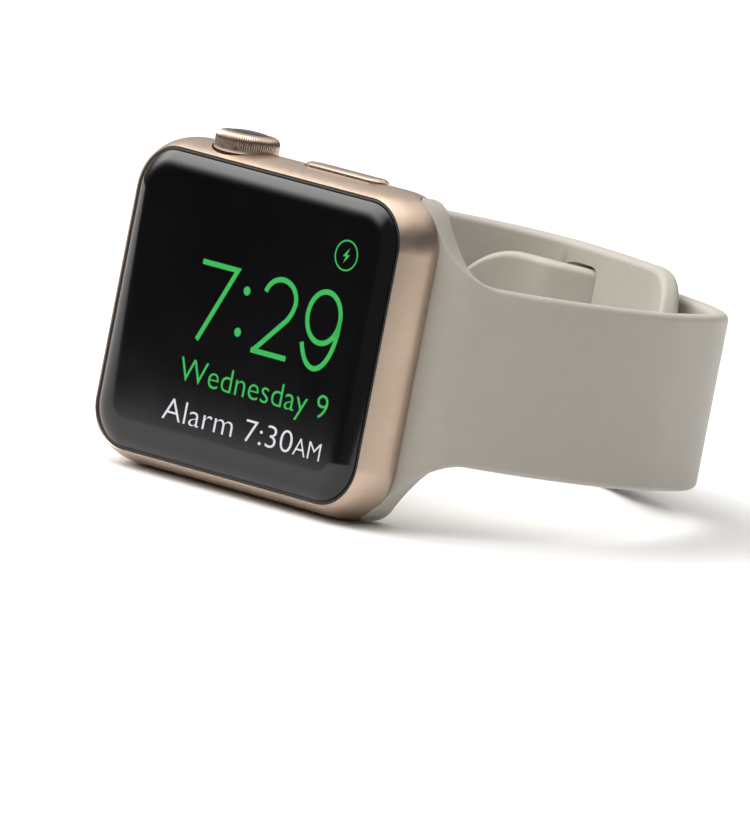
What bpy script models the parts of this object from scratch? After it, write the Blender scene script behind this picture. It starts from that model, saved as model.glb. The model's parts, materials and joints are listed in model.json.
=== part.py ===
"""Smartwatch on a closed pin-and-tuck band, lying on its side with the crown up.

Everything is drawn in the watch's own axes, held by the empty called watch:
x runs towards the six o'clock end, d runs from the glass to the back, w runs towards the crown.
"""

import math

import bmesh
import bpy
from mathutils import Vector

MM = 0.001

# Clearances
FIT_GAP = 0.10 * MM  # between pieces that seat on each other
RUNNING_GAP = 0.20 * MM  # round a piece that moves
CUT_PAST = 1.0 * MM  # how far a cutter runs past the surface that it opens

# Drawing
SHARP_ANGLE = math.radians(35)  # edges sharper than this are drawn as edges
HALFWAY_ROUND = 1 - math.cos(math.pi / 4)  # share of an edge's radius at the middle of its rounding
FULL_ROUND = 0.999  # a slot's end radius as a share of its half width

# Case
CASE_LENGTH = 42.5 * MM  # along x, at its widest level
CASE_WIDTH = 36.4 * MM  # along w, without the crown
CASE_CORNER = 6.45 * MM  # plan corner radius at its widest level
CASE_DEPTH = 8.6 * MM  # glass edge to metal back
CASE_WIDEST = 4.45 * MM  # depth of the widest level
CASE_BULGE = 1.3 * MM  # how far the side swells past the front lip
SIDE_CURVE_REACH = 5.6 * MM  # half height of the ellipse that the side follows
BACK_EDGE_ROUND = 0.45 * MM
BACK_WALL = 0.7 * MM
SIDE_WALL = 1.3 * MM  # least wall beside the cavity, at the front lip
END_WALL = 1.04 * MM  # between the cavity and a band channel
SIDE_LEVELS = 10
SEAT_DEPTH = 1.9 * MM  # ledge that the front gasket sits on
CORNER_STEPS = 8
SMALL_CORNER = 0.3 * MM  # of a block with no corner of its own

# Front
GASKET_LINE = 0.35 * MM  # black line seen round the glass
GLASS_RISE = 0.9 * MM  # how far the glass stands in front of its edge
GLASS_CURVE = 2.3 * MM  # width of the curved edge
GLASS_SKIRT = 0.6 * MM  # edge of the glass below the line
GLASS_STEPS = 5
GASKET_WIDTH = 1.3 * MM
PANEL_THICKNESS = 0.6 * MM
PANEL_FRAME_THICKNESS = 0.3 * MM
PANEL_FRAME_WIDTH = 1.6 * MM
INNER_PLATE_THICKNESS = 0.3 * MM

# Band channel and lug
LUG_DEPTH = 4.1 * MM  # how far the lug reaches into the case end
LUG_HEIGHT = 3.4 * MM  # in the channel
MOUTH_HEIGHT = 3.0 * MM  # at the case surface
LUG_LEVEL = 6.125 * MM  # depth of the lug's middle
LUG_FLUSH = 2.8 * MM  # length of lug whose ends follow the case corner
FLARE_LENGTH = 7.5 * MM  # from there to the plain strap
FLARE_STEPS = 5
FLARE_CROWDING = 1.3  # over 1 puts the flare's sections closer together near the case
MOUTH_RUN = 2.0 * MM  # of strap past the case that keeps the mouth's height
THROAT_SHARE = 0.75  # share of the flush length at which the lug starts to thin towards the mouth
LUG_SHARES = (0.55, THROAT_SHARE, 0.88, 1.0)  # sections along the flush length
CHANNEL_STEPS = 6
LUG_END_ROUND = 0.5 * MM

# Band
STRAP_THICKNESS = 2.3 * MM
STRAP_EDGE_ROUND = 0.95 * MM
ROOT_EDGE_ROUND = 0.35 * MM  # in the channel and at the start of the flare
ROOT_EDGE_REACH = 1.6  # flare lengths over which it grows to the strap's own rounding
LONG_STRAP_WIDTH = 19.6 * MM
SHORT_STRAP_WIDTH = 24.8 * MM
LAYER_GAP = 0.3 * MM  # between straps that lie on each other
SLOT_CLEARANCE = 0.35 * MM
STATION_SPACING = 3.4 * MM
SECTION_STEPS = 3  # at each rounded corner of the strap's section
ROUND_LIMIT = 0.98  # most of a section's half size that its rounding may take
TIP_STEPS = 6
TIP_END = 0.004  # share of the half width left at the very tip
TIP_FROM_LUG = 52.5 * MM  # short strap's tip to the six o'clock lug's end, along the loop
STUD_FROM_TIP = 11.5 * MM  # along the short strap
SLOT_FROM_STUD = 13.0 * MM
CROSSING_LENGTH = 14.0 * MM  # stretch over which the long strap passes the slot
TAIL_LENGTH = 14.0 * MM  # of long strap inside the loop, past the slot
TIP_STAND_OFF = 2.2 * MM  # the short strap's free end stands this far inwards
LIFT_LENGTH = 16.0 * MM  # stretch over which the long strap climbs onto the short one
HOLE_COUNT = 7
HOLE_PITCH = 6.6 * MM
HOLE_RADIUS = 1.5 * MM
HOLES_BEFORE_STUD = 4  # holes between the stud and the tail

# Middle line of the loop in x and d, from the twelve o'clock lug round the wrist to the six o'clock lug,
# for a case and lug of the sizes below. The loop follows the real case's length and lug level from there.
# The first and last points, inside the case ends, are worked out from the case.
LOOP_CASE_LENGTH = 42.5 * MM
LOOP_LUG_LEVEL = 6.125 * MM
LOOP_POINTS = (
    (-23.6, 7.3),
    (-26.8, 10.6),
    (-29.8, 16.4),
    (-31.3, 24.5),
    (-31.0, 34.5),
    (-28.6, 43.8),
    (-23.8, 51.2),
    (-17.2, 56.0),
    (-9.5, 57.9),
    (-1.8, 56.8),
    (5.6, 54.5),
    (11.6, 52.2),
    (17.6, 49.5),
    (23.0, 45.9),
    (27.7, 41.0),
    (30.7, 34.6),
    (31.5, 27.2),
    (30.6, 20.2),
    (28.7, 14.5),
    (26.2, 10.3),
    (23.6, 7.3),
)
LOOP_STEPS = 16  # samples between two of those points

# Closure stud
STUD_SHAFT_RADIUS = 1.1 * MM
STUD_HEAD_RADIUS = 1.95 * MM
STUD_HEAD_HEIGHT = 0.9 * MM
STUD_FLANGE_RADIUS = 3.3 * MM
STUD_FLANGE_HEIGHT = 0.6 * MM
STUD_HEAD_SHAPE = ((1.0, 0.0), (0.95, 0.5), (0.7, 1.0))  # shares of the head's radius and height

# Crown
CROWN_X = -8.9 * MM
CROWN_LEVEL = 4.2 * MM
CROWN_RADIUS = 3.6 * MM
CROWN_PROUD = 1.9 * MM
CROWN_UNDERCUT = 1.2 * MM  # depth of the scoop below it
CROWN_TRAVEL = 0.3 * MM
CROWN_EDGE_ROUND = 0.9 * MM
CROWN_FOOT_ROUND = 0.35 * MM
CROWN_CAP_RADIUS = 2.5 * MM
CROWN_CAP_DEPTH = 0.4 * MM
CROWN_SHAFT_RADIUS = 1.15 * MM
CROWN_BUSH_WALL = 0.4 * MM
CROWN_SEAL_HEIGHT = 0.5 * MM
ENCODER_WHEEL_HEIGHT = 0.8 * MM
ENCODER_STAND_OFF = 0.6 * MM  # from the thrust plate to the wheel
ENCODER_WIDTH = 1.5 * MM
THRUST_PLATE_HEIGHT = 0.6 * MM
SWITCH_HEIGHT = 1.1 * MM

# Side button
BUTTON_X = 6.3 * MM
BUTTON_LEVEL = 4.4 * MM
BUTTON_LENGTH = 11.6 * MM
BUTTON_WIDTH = 2.9 * MM
BUTTON_PROUD = 0.45 * MM
BUTTON_HEIGHT = 1.4 * MM
BUTTON_BEVEL = 0.25 * MM
BUTTON_TRAVEL = 0.25 * MM
BUTTON_SWITCH_SIDE = 2.8 * MM
BRACKET_THICKNESS = 0.5 * MM
BRACKET_CORNER = 0.2 * MM
STEM_RADIUS = 0.7 * MM
STEM_SEAL_WALL = 0.4 * MM
STEM_SEAL_HEIGHT = 0.8 * MM
STEM_INSIDE = 1.2 * MM  # of stem that reaches into the cavity

# Release buttons and latches
RELEASE_LENGTH = 5.4 * MM
RELEASE_WIDTH = 1.6 * MM
RELEASE_INSET = 2.95 * MM  # from the case end to the button's middle
RELEASE_TRAVEL = 0.35 * MM
LATCH_LENGTH = 4.4 * MM
LATCH_WIDTH = 1.1 * MM
LATCH_HEIGHT = 1.4 * MM
LATCH_PROUD = 0.2 * MM
LATCH_SPRING_THICKNESS = 0.25 * MM
INSERT_LENGTH = 20.0 * MM
INSERT_WIDTH = 1.3 * MM
INSERT_THICKNESS = 0.4 * MM

# Back
BACK_OPENING_RADIUS = 14.2 * MM
BACK_FLANGE_LAP = 0.9 * MM
BACK_FLANGE_THICKNESS = 0.35 * MM
BACK_GASKET_THICKNESS = 0.35 * MM
CRYSTAL_RADIUS = 11.2 * MM
CRYSTAL_RISE = 1.9 * MM  # past the metal back
CRYSTAL_RIM_RISE = 0.7 * MM
CRYSTAL_WALL = 1.0 * MM
CRYSTAL_FLAT_RADIUS = 2.2 * MM  # level middle of the dome
WINDOW_RADIUS = 1.7 * MM
WINDOW_PITCH = 3.1 * MM  # from the middle, along x and along w
WINDOW_THICKNESS = 0.7 * MM
DOME_STEPS = 5

# Points round each turned piece. The back's rings match the case's outline.
ROUND_STEPS = 4 * (CORNER_STEPS + 1)
KNOB_STEPS = 48
SCOOP_STEPS = 32
STUD_STEPS = 28
SHAFT_STEPS = 24
SMALL_ROUND_STEPS = 20
STEM_STEPS = 16
SCREW_STEPS = 12
SLOT_END_STEPS = 6

# Insides
BOARD_THICKNESS = 0.6 * MM
COIL_OUTER_RADIUS = 10.4 * MM
COIL_INNER_RADIUS = 6.6 * MM
MAGNET_RADIUS = 5.8 * MM
COIL_THICKNESS = 0.4 * MM
SENSOR_BOARD_RADIUS = 10.8 * MM
SENSOR_BOARD_THICKNESS = 0.4 * MM
CHIP_SIDE = 1.9 * MM
CHIP_HEIGHT = 0.45 * MM
CHIP_CORNER = 0.2 * MM
SCREW_RADIUS = 0.45 * MM
SCREW_HEAD_RADIUS = 0.85 * MM
SCREW_HEAD_HEIGHT = 0.4 * MM
SCREW_INSET = 2.6 * MM  # from the cavity's walls
FLEX_THICKNESS = 0.25 * MM
FLEX_WIDTH = 6.0 * MM
FLEX_CORNER = 0.1 * MM
SPEAKER_LENGTH = 13.0 * MM
SPEAKER_WIDTH = 5.6 * MM
SPEAKER_CORNER = 0.5 * MM
SPEAKER_X = -2.5 * MM
SPEAKER_SLOT_LENGTH = 4.8 * MM
SPEAKER_SLOT_WIDTH = 0.9 * MM
SPEAKER_SLOT_PITCH = 6.0 * MM
MESH_THICKNESS = 0.15 * MM
MESH_CORNER = 0.05 * MM
MICROPHONE_X = 8.6 * MM
MICROPHONE_SIDE = 2.6 * MM
MICROPHONE_HOLE_RADIUS = 0.45 * MM
INPUT_ROOM = 5.6 * MM  # along w, kept for the crown's and the button's works
MOTOR_WIDTH = 5.6 * MM
MOTOR_CORNER = 0.6 * MM
BATTERY_LENGTH = 19.6 * MM
BATTERY_CORNER = 1.0 * MM
ANTENNA_LENGTH = 15.0 * MM
ANTENNA_WIDTH = 1.6 * MM

# What follows from the sizes above
CORE_X = CASE_LENGTH / 2 - CASE_CORNER
CORE_W = CASE_WIDTH / 2 - CASE_CORNER
LIP_CORNER = CASE_CORNER - CASE_BULGE
SEAT_CORNER = LIP_CORNER - FIT_GAP
GLASS_CORNER = SEAT_CORNER - GASKET_LINE - FIT_GAP / 2
CAVITY_DEPTH = CASE_DEPTH - BACK_WALL
LUG_END_X = CASE_LENGTH / 2 - LUG_DEPTH
CAVITY_HALF_X = LUG_END_X - FIT_GAP - END_WALL
CAVITY_HALF_W = CORE_W + LIP_CORNER - SIDE_WALL
CAVITY_CORNER = CAVITY_HALF_W - CORE_W
INNER_HALF_X = CAVITY_HALF_X - FLEX_THICKNESS - 6 * FIT_GAP  # leaves room for the display's flex
SIDE_W = CASE_WIDTH / 2
RELEASE_X = CASE_LENGTH / 2 - RELEASE_INSET
CHANNEL_BACK = LUG_LEVEL + LUG_HEIGHT / 2 + FIT_GAP
PANEL_FRONT = GLASS_SKIRT + FIT_GAP
PANEL_BACK = PANEL_FRONT + PANEL_THICKNESS
INNER_FRONT = SEAT_DEPTH + FIT_GAP
INNER_BACK = INNER_FRONT + INNER_PLATE_THICKNESS
FLANGE_BACK = CAVITY_DEPTH - BACK_GASKET_THICKNESS - 2 * FIT_GAP
FLANGE_FRONT = FLANGE_BACK - BACK_FLANGE_THICKNESS
BOARD_BACK = FLANGE_FRONT - FIT_GAP
BOARD_FRONT = BOARD_BACK - BOARD_THICKNESS
COIL_FRONT = BOARD_BACK + FIT_GAP
COIL_BACK = COIL_FRONT + COIL_THICKNESS
SENSOR_BOARD_FRONT = COIL_BACK + FIT_GAP
SENSOR_BOARD_BACK = SENSOR_BOARD_FRONT + SENSOR_BOARD_THICKNESS
BAY_FRONT = INNER_BACK + RUNNING_GAP
BAY_BACK = BOARD_FRONT - RUNNING_GAP
SPEAKER_LOW = -CAVITY_HALF_W + MESH_THICKNESS + 2 * FIT_GAP
BAY_LOW = SPEAKER_LOW + SPEAKER_WIDTH + RUNNING_GAP
BAY_HIGH = CAVITY_HALF_W - INPUT_ROOM
ENCODER_WHEEL_RADIUS = CROWN_LEVEL - BAY_FRONT
LAYER_STEP = STRAP_THICKNESS + LAYER_GAP


# ---------------------------------------------------------------- materials and objects


def material(name, colour, roughness, metallic=0.0):
    """A Principled material, made once for each name."""
    found = bpy.data.materials.get(name)
    if found:
        return found
    made = bpy.data.materials.new(name)
    made.use_nodes = True
    shader = made.node_tree.nodes["Principled BSDF"]
    shader.inputs["Base Color"].default_value = (*colour, 1.0)
    shader.inputs["Roughness"].default_value = roughness
    shader.inputs["Metallic"].default_value = metallic
    return made


def gold_aluminium():
    return material("gold_aluminium", (0.62, 0.44, 0.32), 0.32, 1.0)


def strap_elastomer():
    return material("strap_elastomer", (0.50, 0.45, 0.39), 0.62)


def steel():
    return material("steel", (0.55, 0.55, 0.56), 0.3, 1.0)


def black_seal():
    return material("black_seal", (0.012, 0.012, 0.013), 0.7)


def dark_resin():
    return material("dark_resin", (0.03, 0.03, 0.033), 0.5)


def clear_scene():
    for thing in list(bpy.data.objects):
        bpy.data.objects.remove(thing)


def empty(name, location, parent=None):
    made = bpy.data.objects.new(name, None)
    made.empty_display_size = 5 * MM
    made.location = location
    made.parent = parent
    bpy.context.scene.collection.objects.link(made)
    return made


def add_object(name, rings, frame, closed=False):
    """One closed surface lofted through rings of points, each ring as long as the next.

    An open stack is capped at both ends, and a closed one joins its last ring to its first.
    frame is the empty that it moves with, and its origin is there.
    """
    shape = bmesh.new()
    origin = frame.location if frame.parent else Vector()
    rows = [[shape.verts.new(point - origin) for point in ring] for ring in rings]
    pairs = list(zip(rows, rows[1:]))
    if closed:
        pairs.append((rows[-1], rows[0]))
    else:
        shape.faces.new(rows[0])
        shape.faces.new(list(reversed(rows[-1])))
    for near, far in pairs:
        for i in range(len(near)):
            j = (i + 1) % len(near)
            shape.faces.new((near[j], near[i], far[i], far[j]))
    bmesh.ops.recalc_face_normals(shape, faces=shape.faces)
    mesh = bpy.data.meshes.new(name)
    shape.to_mesh(mesh)
    shape.free()
    mesh.shade_smooth()
    mesh.set_sharp_from_angle(angle=SHARP_ANGLE)
    made = bpy.data.objects.new(name, mesh)
    made.parent = frame
    bpy.context.scene.collection.objects.link(made)
    return made


def finish(part, surface):
    part.data.materials.append(surface)
    return part


def cut(part, cutters):
    """Takes each cutter away from part, and keeps it as a wire guide."""
    for cutter in cutters:
        cutter.hide_render = True
        cutter.display_type = "WIRE"
        away = part.modifiers.new("cut_" + cutter.name, "BOOLEAN")
        away.operation = "DIFFERENCE"
        away.solver = "EXACT"
        away.object = cutter
    return part


# ---------------------------------------------------------------- outlines and solids


def rounded_outline(half_a, half_b, radius, steps=CORNER_STEPS):
    """Points of a rounded rectangle round the origin, steps + 1 of them at each corner."""
    points = []
    for corner, (side_a, side_b) in enumerate(((1, 1), (-1, 1), (-1, -1), (1, -1))):
        for step in range(steps + 1):
            angle = math.pi / 2 * (corner + step / steps)
            a = side_a * (half_a - radius) + radius * math.cos(angle)
            b = side_b * (half_b - radius) + radius * math.sin(angle)
            points.append((a, b))
    return points


def circle_outline(radius, steps=ROUND_STEPS):
    """Points of a circle, in step with a rounded rectangle of as many points."""
    turn = 2 * math.pi / steps
    return [
        (radius * math.cos(turn * (i + 0.5)), radius * math.sin(turn * (i + 0.5)))
        for i in range(steps)
    ]


def at_depth(outline, d, x=0.0, w=0.0):
    """An outline in x and w, laid at depth d."""
    return [Vector((x + a, d, w + b)) for a, b in outline]


def across(outline, w):
    """An outline in x and d, laid at height w."""
    return [Vector((a, b, w)) for a, b in outline]


def case_ring(corner, d):
    """Outline of the case at depth d, whose corner radius there is corner."""
    return at_depth(rounded_outline(CORE_X + corner, CORE_W + corner, corner), d)


def plate(name, half_x, half_w, corner, front, back, frame, x=0.0, w=0.0, steps=3):
    """A flat plate with rounded corners between two depths."""
    outline = rounded_outline(half_x, half_w, corner, steps)
    return add_object(name, [at_depth(outline, front, x, w), at_depth(outline, back, x, w)], frame)


def block(name, low, high, frame, corner=SMALL_CORNER):
    """A block between two corners in x, d and w, its upright edges rounded."""
    half_x = (high[0] - low[0]) / 2
    half_w = (high[2] - low[2]) / 2
    x = (high[0] + low[0]) / 2
    w = (high[2] + low[2]) / 2
    return plate(name, half_x, half_w, corner, low[1], high[1], frame, x, w, steps=2)


def turned_about_depth(name, profile, frame, x=0.0, w=0.0, closed=False, steps=ROUND_STEPS):
    """A solid turned about a line along d. profile holds pairs of radius and depth."""
    rings = [at_depth(circle_outline(radius, steps), d, x, w) for radius, d in profile]
    return add_object(name, rings, frame, closed)


def turned_about_crown_axis(name, profile, frame, x, d, closed=False, steps=ROUND_STEPS):
    """A solid turned about a line along w. profile holds pairs of radius and height."""
    rings = []
    for radius, w in profile:
        rings.append(across([(x + a, d + b) for a, b in circle_outline(radius, steps)], w))
    return add_object(name, rings, frame, closed)


def tube_profile(inner, outer, low, high):
    return [(inner, low), (outer, low), (outer, high), (inner, high)]


def stadium(half_length, radius, steps=SLOT_END_STEPS):
    """A slot outline with round ends, long in its first direction."""
    return rounded_outline(half_length, radius, radius * FULL_ROUND, steps)


# ---------------------------------------------------------------- the case and what is in it


def case_corner_at(d):
    """Corner radius of the case's outside at depth d: the side follows part of an ellipse."""
    height = math.sqrt(1 - ((d - CASE_WIDEST) / SIDE_CURVE_REACH) ** 2)
    lip_height = math.sqrt(1 - (CASE_WIDEST / SIDE_CURVE_REACH) ** 2)
    return LIP_CORNER + CASE_BULGE * (height - lip_height) / (1 - lip_height)


def case_body(frame, loop):
    side_end = CASE_DEPTH - BACK_EDGE_ROUND
    rings = []
    for level in range(SIDE_LEVELS + 1):
        d = side_end * level / SIDE_LEVELS
        rings.append(case_ring(case_corner_at(d), d))
    end_corner = case_corner_at(side_end)
    inset = BACK_EDGE_ROUND * HALFWAY_ROUND
    rings.append(case_ring(end_corner - inset, CASE_DEPTH - inset))
    rings.append(case_ring(end_corner - BACK_EDGE_ROUND, CASE_DEPTH))
    opening = circle_outline(BACK_OPENING_RADIUS)
    cavity = rounded_outline(CAVITY_HALF_X, CAVITY_HALF_W, CAVITY_CORNER)
    rings.append(at_depth(opening, CASE_DEPTH))
    rings.append(at_depth(opening, CAVITY_DEPTH))
    rings.append(at_depth(cavity, CAVITY_DEPTH))
    rings.append(at_depth(cavity, SEAT_DEPTH))
    rings.append(case_ring(SEAT_CORNER, SEAT_DEPTH))
    rings.append(case_ring(SEAT_CORNER, FIT_GAP))
    body = add_object("case_body", rings, frame, closed=True)
    cutters = [*channel_cutters(frame, loop), *crown_cutters(frame), *button_cutters(frame)]
    cutters += [*release_cutters(frame), *sound_cutters(frame)]
    return finish(cut(body, cutters), gold_aluminium())


def cover_glass(frame):
    """The glass, level in the middle and curved down to its edge."""
    rings = []
    for step in range(GLASS_STEPS + 1):
        angle = math.pi / 2 * step / GLASS_STEPS
        corner = GLASS_CORNER - GLASS_CURVE * (1 - math.sin(angle))
        rings.append(case_ring(corner, -GLASS_RISE * math.cos(angle)))
    rings.append(case_ring(GLASS_CORNER, GLASS_SKIRT))
    glass = add_object("cover_glass", rings, frame)
    return finish(glass, material("black_glass", (0.004, 0.004, 0.005), 0.06))


def glass_gasket(frame):
    """A seal with a lip beside the glass and a foot under it."""
    outer = SEAT_CORNER - FIT_GAP / 2
    lip = GLASS_CORNER + FIT_GAP / 2
    foot = outer - GASKET_WIDTH
    back = SEAT_DEPTH - FIT_GAP
    profile = [(outer, FIT_GAP), (outer, back), (foot, back)]
    profile += [(foot, PANEL_FRONT), (lip, PANEL_FRONT), (lip, FIT_GAP)]
    rings = [case_ring(corner, d) for corner, d in profile]
    return finish(add_object("glass_gasket", rings, frame, closed=True), black_seal())


def display_parts(frame):
    edge = SEAT_CORNER - FIT_GAP / 2 - GASKET_WIDTH - RUNNING_GAP
    rings = [case_ring(edge, PANEL_FRONT), case_ring(edge, PANEL_BACK)]
    panel = add_object("display_panel", rings, frame)
    finish(panel, material("display_panel", (0.01, 0.01, 0.012), 0.25))
    front = PANEL_BACK + FIT_GAP
    back = front + PANEL_FRAME_THICKNESS
    inner = edge - PANEL_FRAME_WIDTH
    rings = [case_ring(edge, front), case_ring(edge, back), case_ring(inner, back), case_ring(inner, front)]
    sensor = add_object("pressure_sensor_frame", rings, frame, closed=True)
    finish(sensor, material("copper_flex", (0.45, 0.24, 0.08), 0.4, 0.6))
    flex_x = CAVITY_HALF_X - 3 * FIT_GAP - FLEX_THICKNESS
    low = (flex_x, INNER_FRONT, -CORE_W)
    high = (flex_x + FLEX_THICKNESS, BOARD_FRONT - FIT_GAP, -CORE_W + FLEX_WIDTH)
    flex = block("display_flex", low, high, frame, corner=FLEX_CORNER)
    finish(flex, material("orange_flex", (0.5, 0.22, 0.03), 0.5))


def inner_plate(frame):
    half_w = CAVITY_HALF_W - 2 * FIT_GAP
    part = plate("inner_plate", INNER_HALF_X, half_w, CAVITY_CORNER, INNER_FRONT, INNER_BACK, frame)
    return finish(part, steel())


def main_board(frame):
    half_x = CAVITY_HALF_X - 2 * FIT_GAP
    half_w = CAVITY_HALF_W - 2 * FIT_GAP
    board = plate("main_board", half_x, half_w, CAVITY_CORNER, BOARD_FRONT, BOARD_BACK, frame)
    holes = []
    bore = SCREW_RADIUS + FIT_GAP
    profile = [(bore, BOARD_FRONT - FIT_GAP), (bore, BOARD_BACK + FIT_GAP)]
    for number, (x, w) in enumerate(screw_places(), 1):
        holes.append(turned_about_depth(f"screw_hole_{number}", profile, frame, x, w, steps=SCREW_STEPS))
    return finish(cut(board, holes), material("board_green", (0.01, 0.07, 0.04), 0.45))


def screw_places():
    x = CAVITY_HALF_X - SCREW_INSET
    w = CAVITY_HALF_W - SCREW_INSET
    return ((-x, w), (-x, -w), (x, w))


def board_screws(frame):
    tip = CAVITY_DEPTH - RUNNING_GAP
    head_back = BOARD_FRONT - FIT_GAP
    head_front = head_back - SCREW_HEAD_HEIGHT
    for number, (x, w) in enumerate(screw_places(), 1):
        profile = [(SCREW_HEAD_RADIUS, head_front), (SCREW_HEAD_RADIUS, head_back), (SCREW_RADIUS, head_back)]
        profile.append((SCREW_RADIUS, tip))
        finish(turned_about_depth(f"board_screw_{number}", profile, frame, x, w, steps=SCREW_STEPS), steel())


def bay_parts(frame):
    """Battery, vibration motor and antenna bracket, side by side between plate and board."""
    right = INNER_HALF_X
    low = (right - ANTENNA_WIDTH, BAY_FRONT, -ANTENNA_LENGTH / 2)
    antenna = block("antenna_bracket", low, (right, BAY_BACK, ANTENNA_LENGTH / 2), frame)
    finish(antenna, dark_resin())
    battery_right = right - ANTENNA_WIDTH - RUNNING_GAP
    low = (battery_right - BATTERY_LENGTH, BAY_FRONT, BAY_LOW)
    battery = block("battery", low, (battery_right, BAY_BACK, BAY_HIGH), frame, corner=BATTERY_CORNER)
    finish(battery, material("battery_wrap", (0.06, 0.06, 0.065), 0.35, 0.3))
    motor_right = battery_right - BATTERY_LENGTH - RUNNING_GAP
    low = (motor_right - MOTOR_WIDTH, BAY_FRONT, BAY_LOW)
    motor = block("vibration_motor", low, (motor_right, BAY_BACK, BAY_HIGH), frame, corner=MOTOR_CORNER)
    finish(motor, steel())


def sound_parts(frame):
    wall = -CAVITY_HALF_W
    mesh_inner = SPEAKER_LOW - FIT_GAP
    left = SPEAKER_X - SPEAKER_LENGTH / 2
    right = SPEAKER_X + SPEAKER_LENGTH / 2
    low = (left, CASE_WIDEST - SPEAKER_SLOT_WIDTH, wall + FIT_GAP)
    high = (right, CASE_WIDEST + SPEAKER_SLOT_WIDTH, mesh_inner)
    finish(block("speaker_mesh", low, high, frame, MESH_CORNER), dark_resin())
    low = (left, BAY_FRONT, SPEAKER_LOW)
    high = (right, BAY_BACK, SPEAKER_LOW + SPEAKER_WIDTH)
    finish(block("speaker", low, high, frame, SPEAKER_CORNER), dark_resin())
    low = (MICROPHONE_X - MICROPHONE_SIDE / 2, BAY_FRONT, wall + 2 * FIT_GAP)
    high = (MICROPHONE_X + MICROPHONE_SIDE / 2, BAY_BACK, wall + 2 * FIT_GAP + MICROPHONE_SIDE)
    finish(block("microphone", low, high, frame), steel())


def sound_cutters(frame):
    """Two speaker slots and one microphone hole through the side opposite the crown."""
    outside = -SIDE_W - FIT_GAP
    inside = -CAVITY_HALF_W + FIT_GAP
    made = []
    for number, shift in enumerate((-SPEAKER_SLOT_PITCH / 2, SPEAKER_SLOT_PITCH / 2), 1):
        outline = stadium(SPEAKER_SLOT_LENGTH / 2, SPEAKER_SLOT_WIDTH / 2, SECTION_STEPS)
        placed = [(SPEAKER_X + shift + a, CASE_WIDEST + b) for a, b in outline]
        rings = [across(placed, outside), across(placed, inside)]
        made.append(add_object(f"speaker_slot_{number}", rings, frame))
    profile = [(MICROPHONE_HOLE_RADIUS, outside), (MICROPHONE_HOLE_RADIUS, inside)]
    x = MICROPHONE_X
    made.append(turned_about_crown_axis("microphone_hole", profile, frame, x, CASE_WIDEST, steps=SCREW_STEPS))
    return made


# ---------------------------------------------------------------- the back


def back_parts(frame):
    bore = CRYSTAL_RADIUS + FIT_GAP
    outer = BACK_OPENING_RADIUS - FIT_GAP
    flange = BACK_OPENING_RADIUS + BACK_FLANGE_LAP
    rim = CASE_DEPTH + CRYSTAL_RIM_RISE
    profile = [(bore, FLANGE_FRONT), (flange, FLANGE_FRONT), (flange, FLANGE_BACK), (outer, FLANGE_BACK)]
    shoulder = CASE_DEPTH + BACK_EDGE_ROUND * (1 - HALFWAY_ROUND)
    profile += [(outer, CASE_DEPTH), (outer - BACK_EDGE_ROUND, shoulder), (bore, rim)]
    cover = turned_about_depth("back_cover", profile, frame, closed=True)
    finish(cover, gold_aluminium())
    front = FLANGE_BACK + FIT_GAP
    ring = tube_profile(BACK_OPENING_RADIUS + FIT_GAP, flange, front, front + BACK_GASKET_THICKNESS)
    finish(turned_about_depth("back_gasket", ring, frame, closed=True), black_seal())
    back_crystal(frame, rim)


def dome_depth(radius, rim, wall=0.0):
    """Depth of the crystal's dome at a radius; wall measures inwards from its outside."""
    share = max(0.0, radius - CRYSTAL_FLAT_RADIUS) / (CRYSTAL_RADIUS - CRYSTAL_FLAT_RADIUS)
    apex = CASE_DEPTH + CRYSTAL_RISE
    return apex - (apex - rim) * share**2 - wall


def back_crystal(frame, rim):
    span = CRYSTAL_RADIUS - CRYSTAL_FLAT_RADIUS
    radii = [CRYSTAL_FLAT_RADIUS + span * i / DOME_STEPS for i in range(DOME_STEPS + 1)]
    foot = SENSOR_BOARD_BACK + FIT_GAP
    profile = [(radius, dome_depth(radius, rim)) for radius in radii]
    profile += [(CRYSTAL_RADIUS, foot), (CRYSTAL_RADIUS - CRYSTAL_WALL, foot)]
    inner_radius = CRYSTAL_RADIUS - CRYSTAL_WALL
    profile += [(inner_radius, dome_depth(inner_radius, rim, CRYSTAL_WALL))]
    profile += [(CRYSTAL_FLAT_RADIUS, dome_depth(CRYSTAL_FLAT_RADIUS, rim, CRYSTAL_WALL))]
    crystal = turned_about_depth("back_crystal", profile, frame)
    holes = []
    steps = SMALL_ROUND_STEPS
    outside = CASE_DEPTH + CRYSTAL_RISE + FIT_GAP
    inside = outside - CRYSTAL_WALL - CRYSTAL_RISE
    for number, (x, w) in enumerate(window_places(), 1):
        profile = [(WINDOW_RADIUS + FIT_GAP / 2, inside), (WINDOW_RADIUS + FIT_GAP / 2, outside)]
        holes.append(turned_about_depth(f"window_hole_{number}", profile, frame, x, w, steps=steps))
        face = dome_depth(math.hypot(x, w), rim) - FIT_GAP
        profile = [(WINDOW_RADIUS, face - WINDOW_THICKNESS), (WINDOW_RADIUS, face)]
        window = turned_about_depth(f"sensor_window_{number}", profile, frame, x, w, steps=steps)
        finish(window, material("sensor_glass", (0.03, 0.01, 0.012), 0.08))
    finish(cut(crystal, holes), material("back_ceramic", (0.02, 0.02, 0.022), 0.12))


def window_places():
    return tuple((a * WINDOW_PITCH, b * WINDOW_PITCH) for a, b in ((1, 1), (-1, 1), (-1, -1), (1, -1)))


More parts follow.
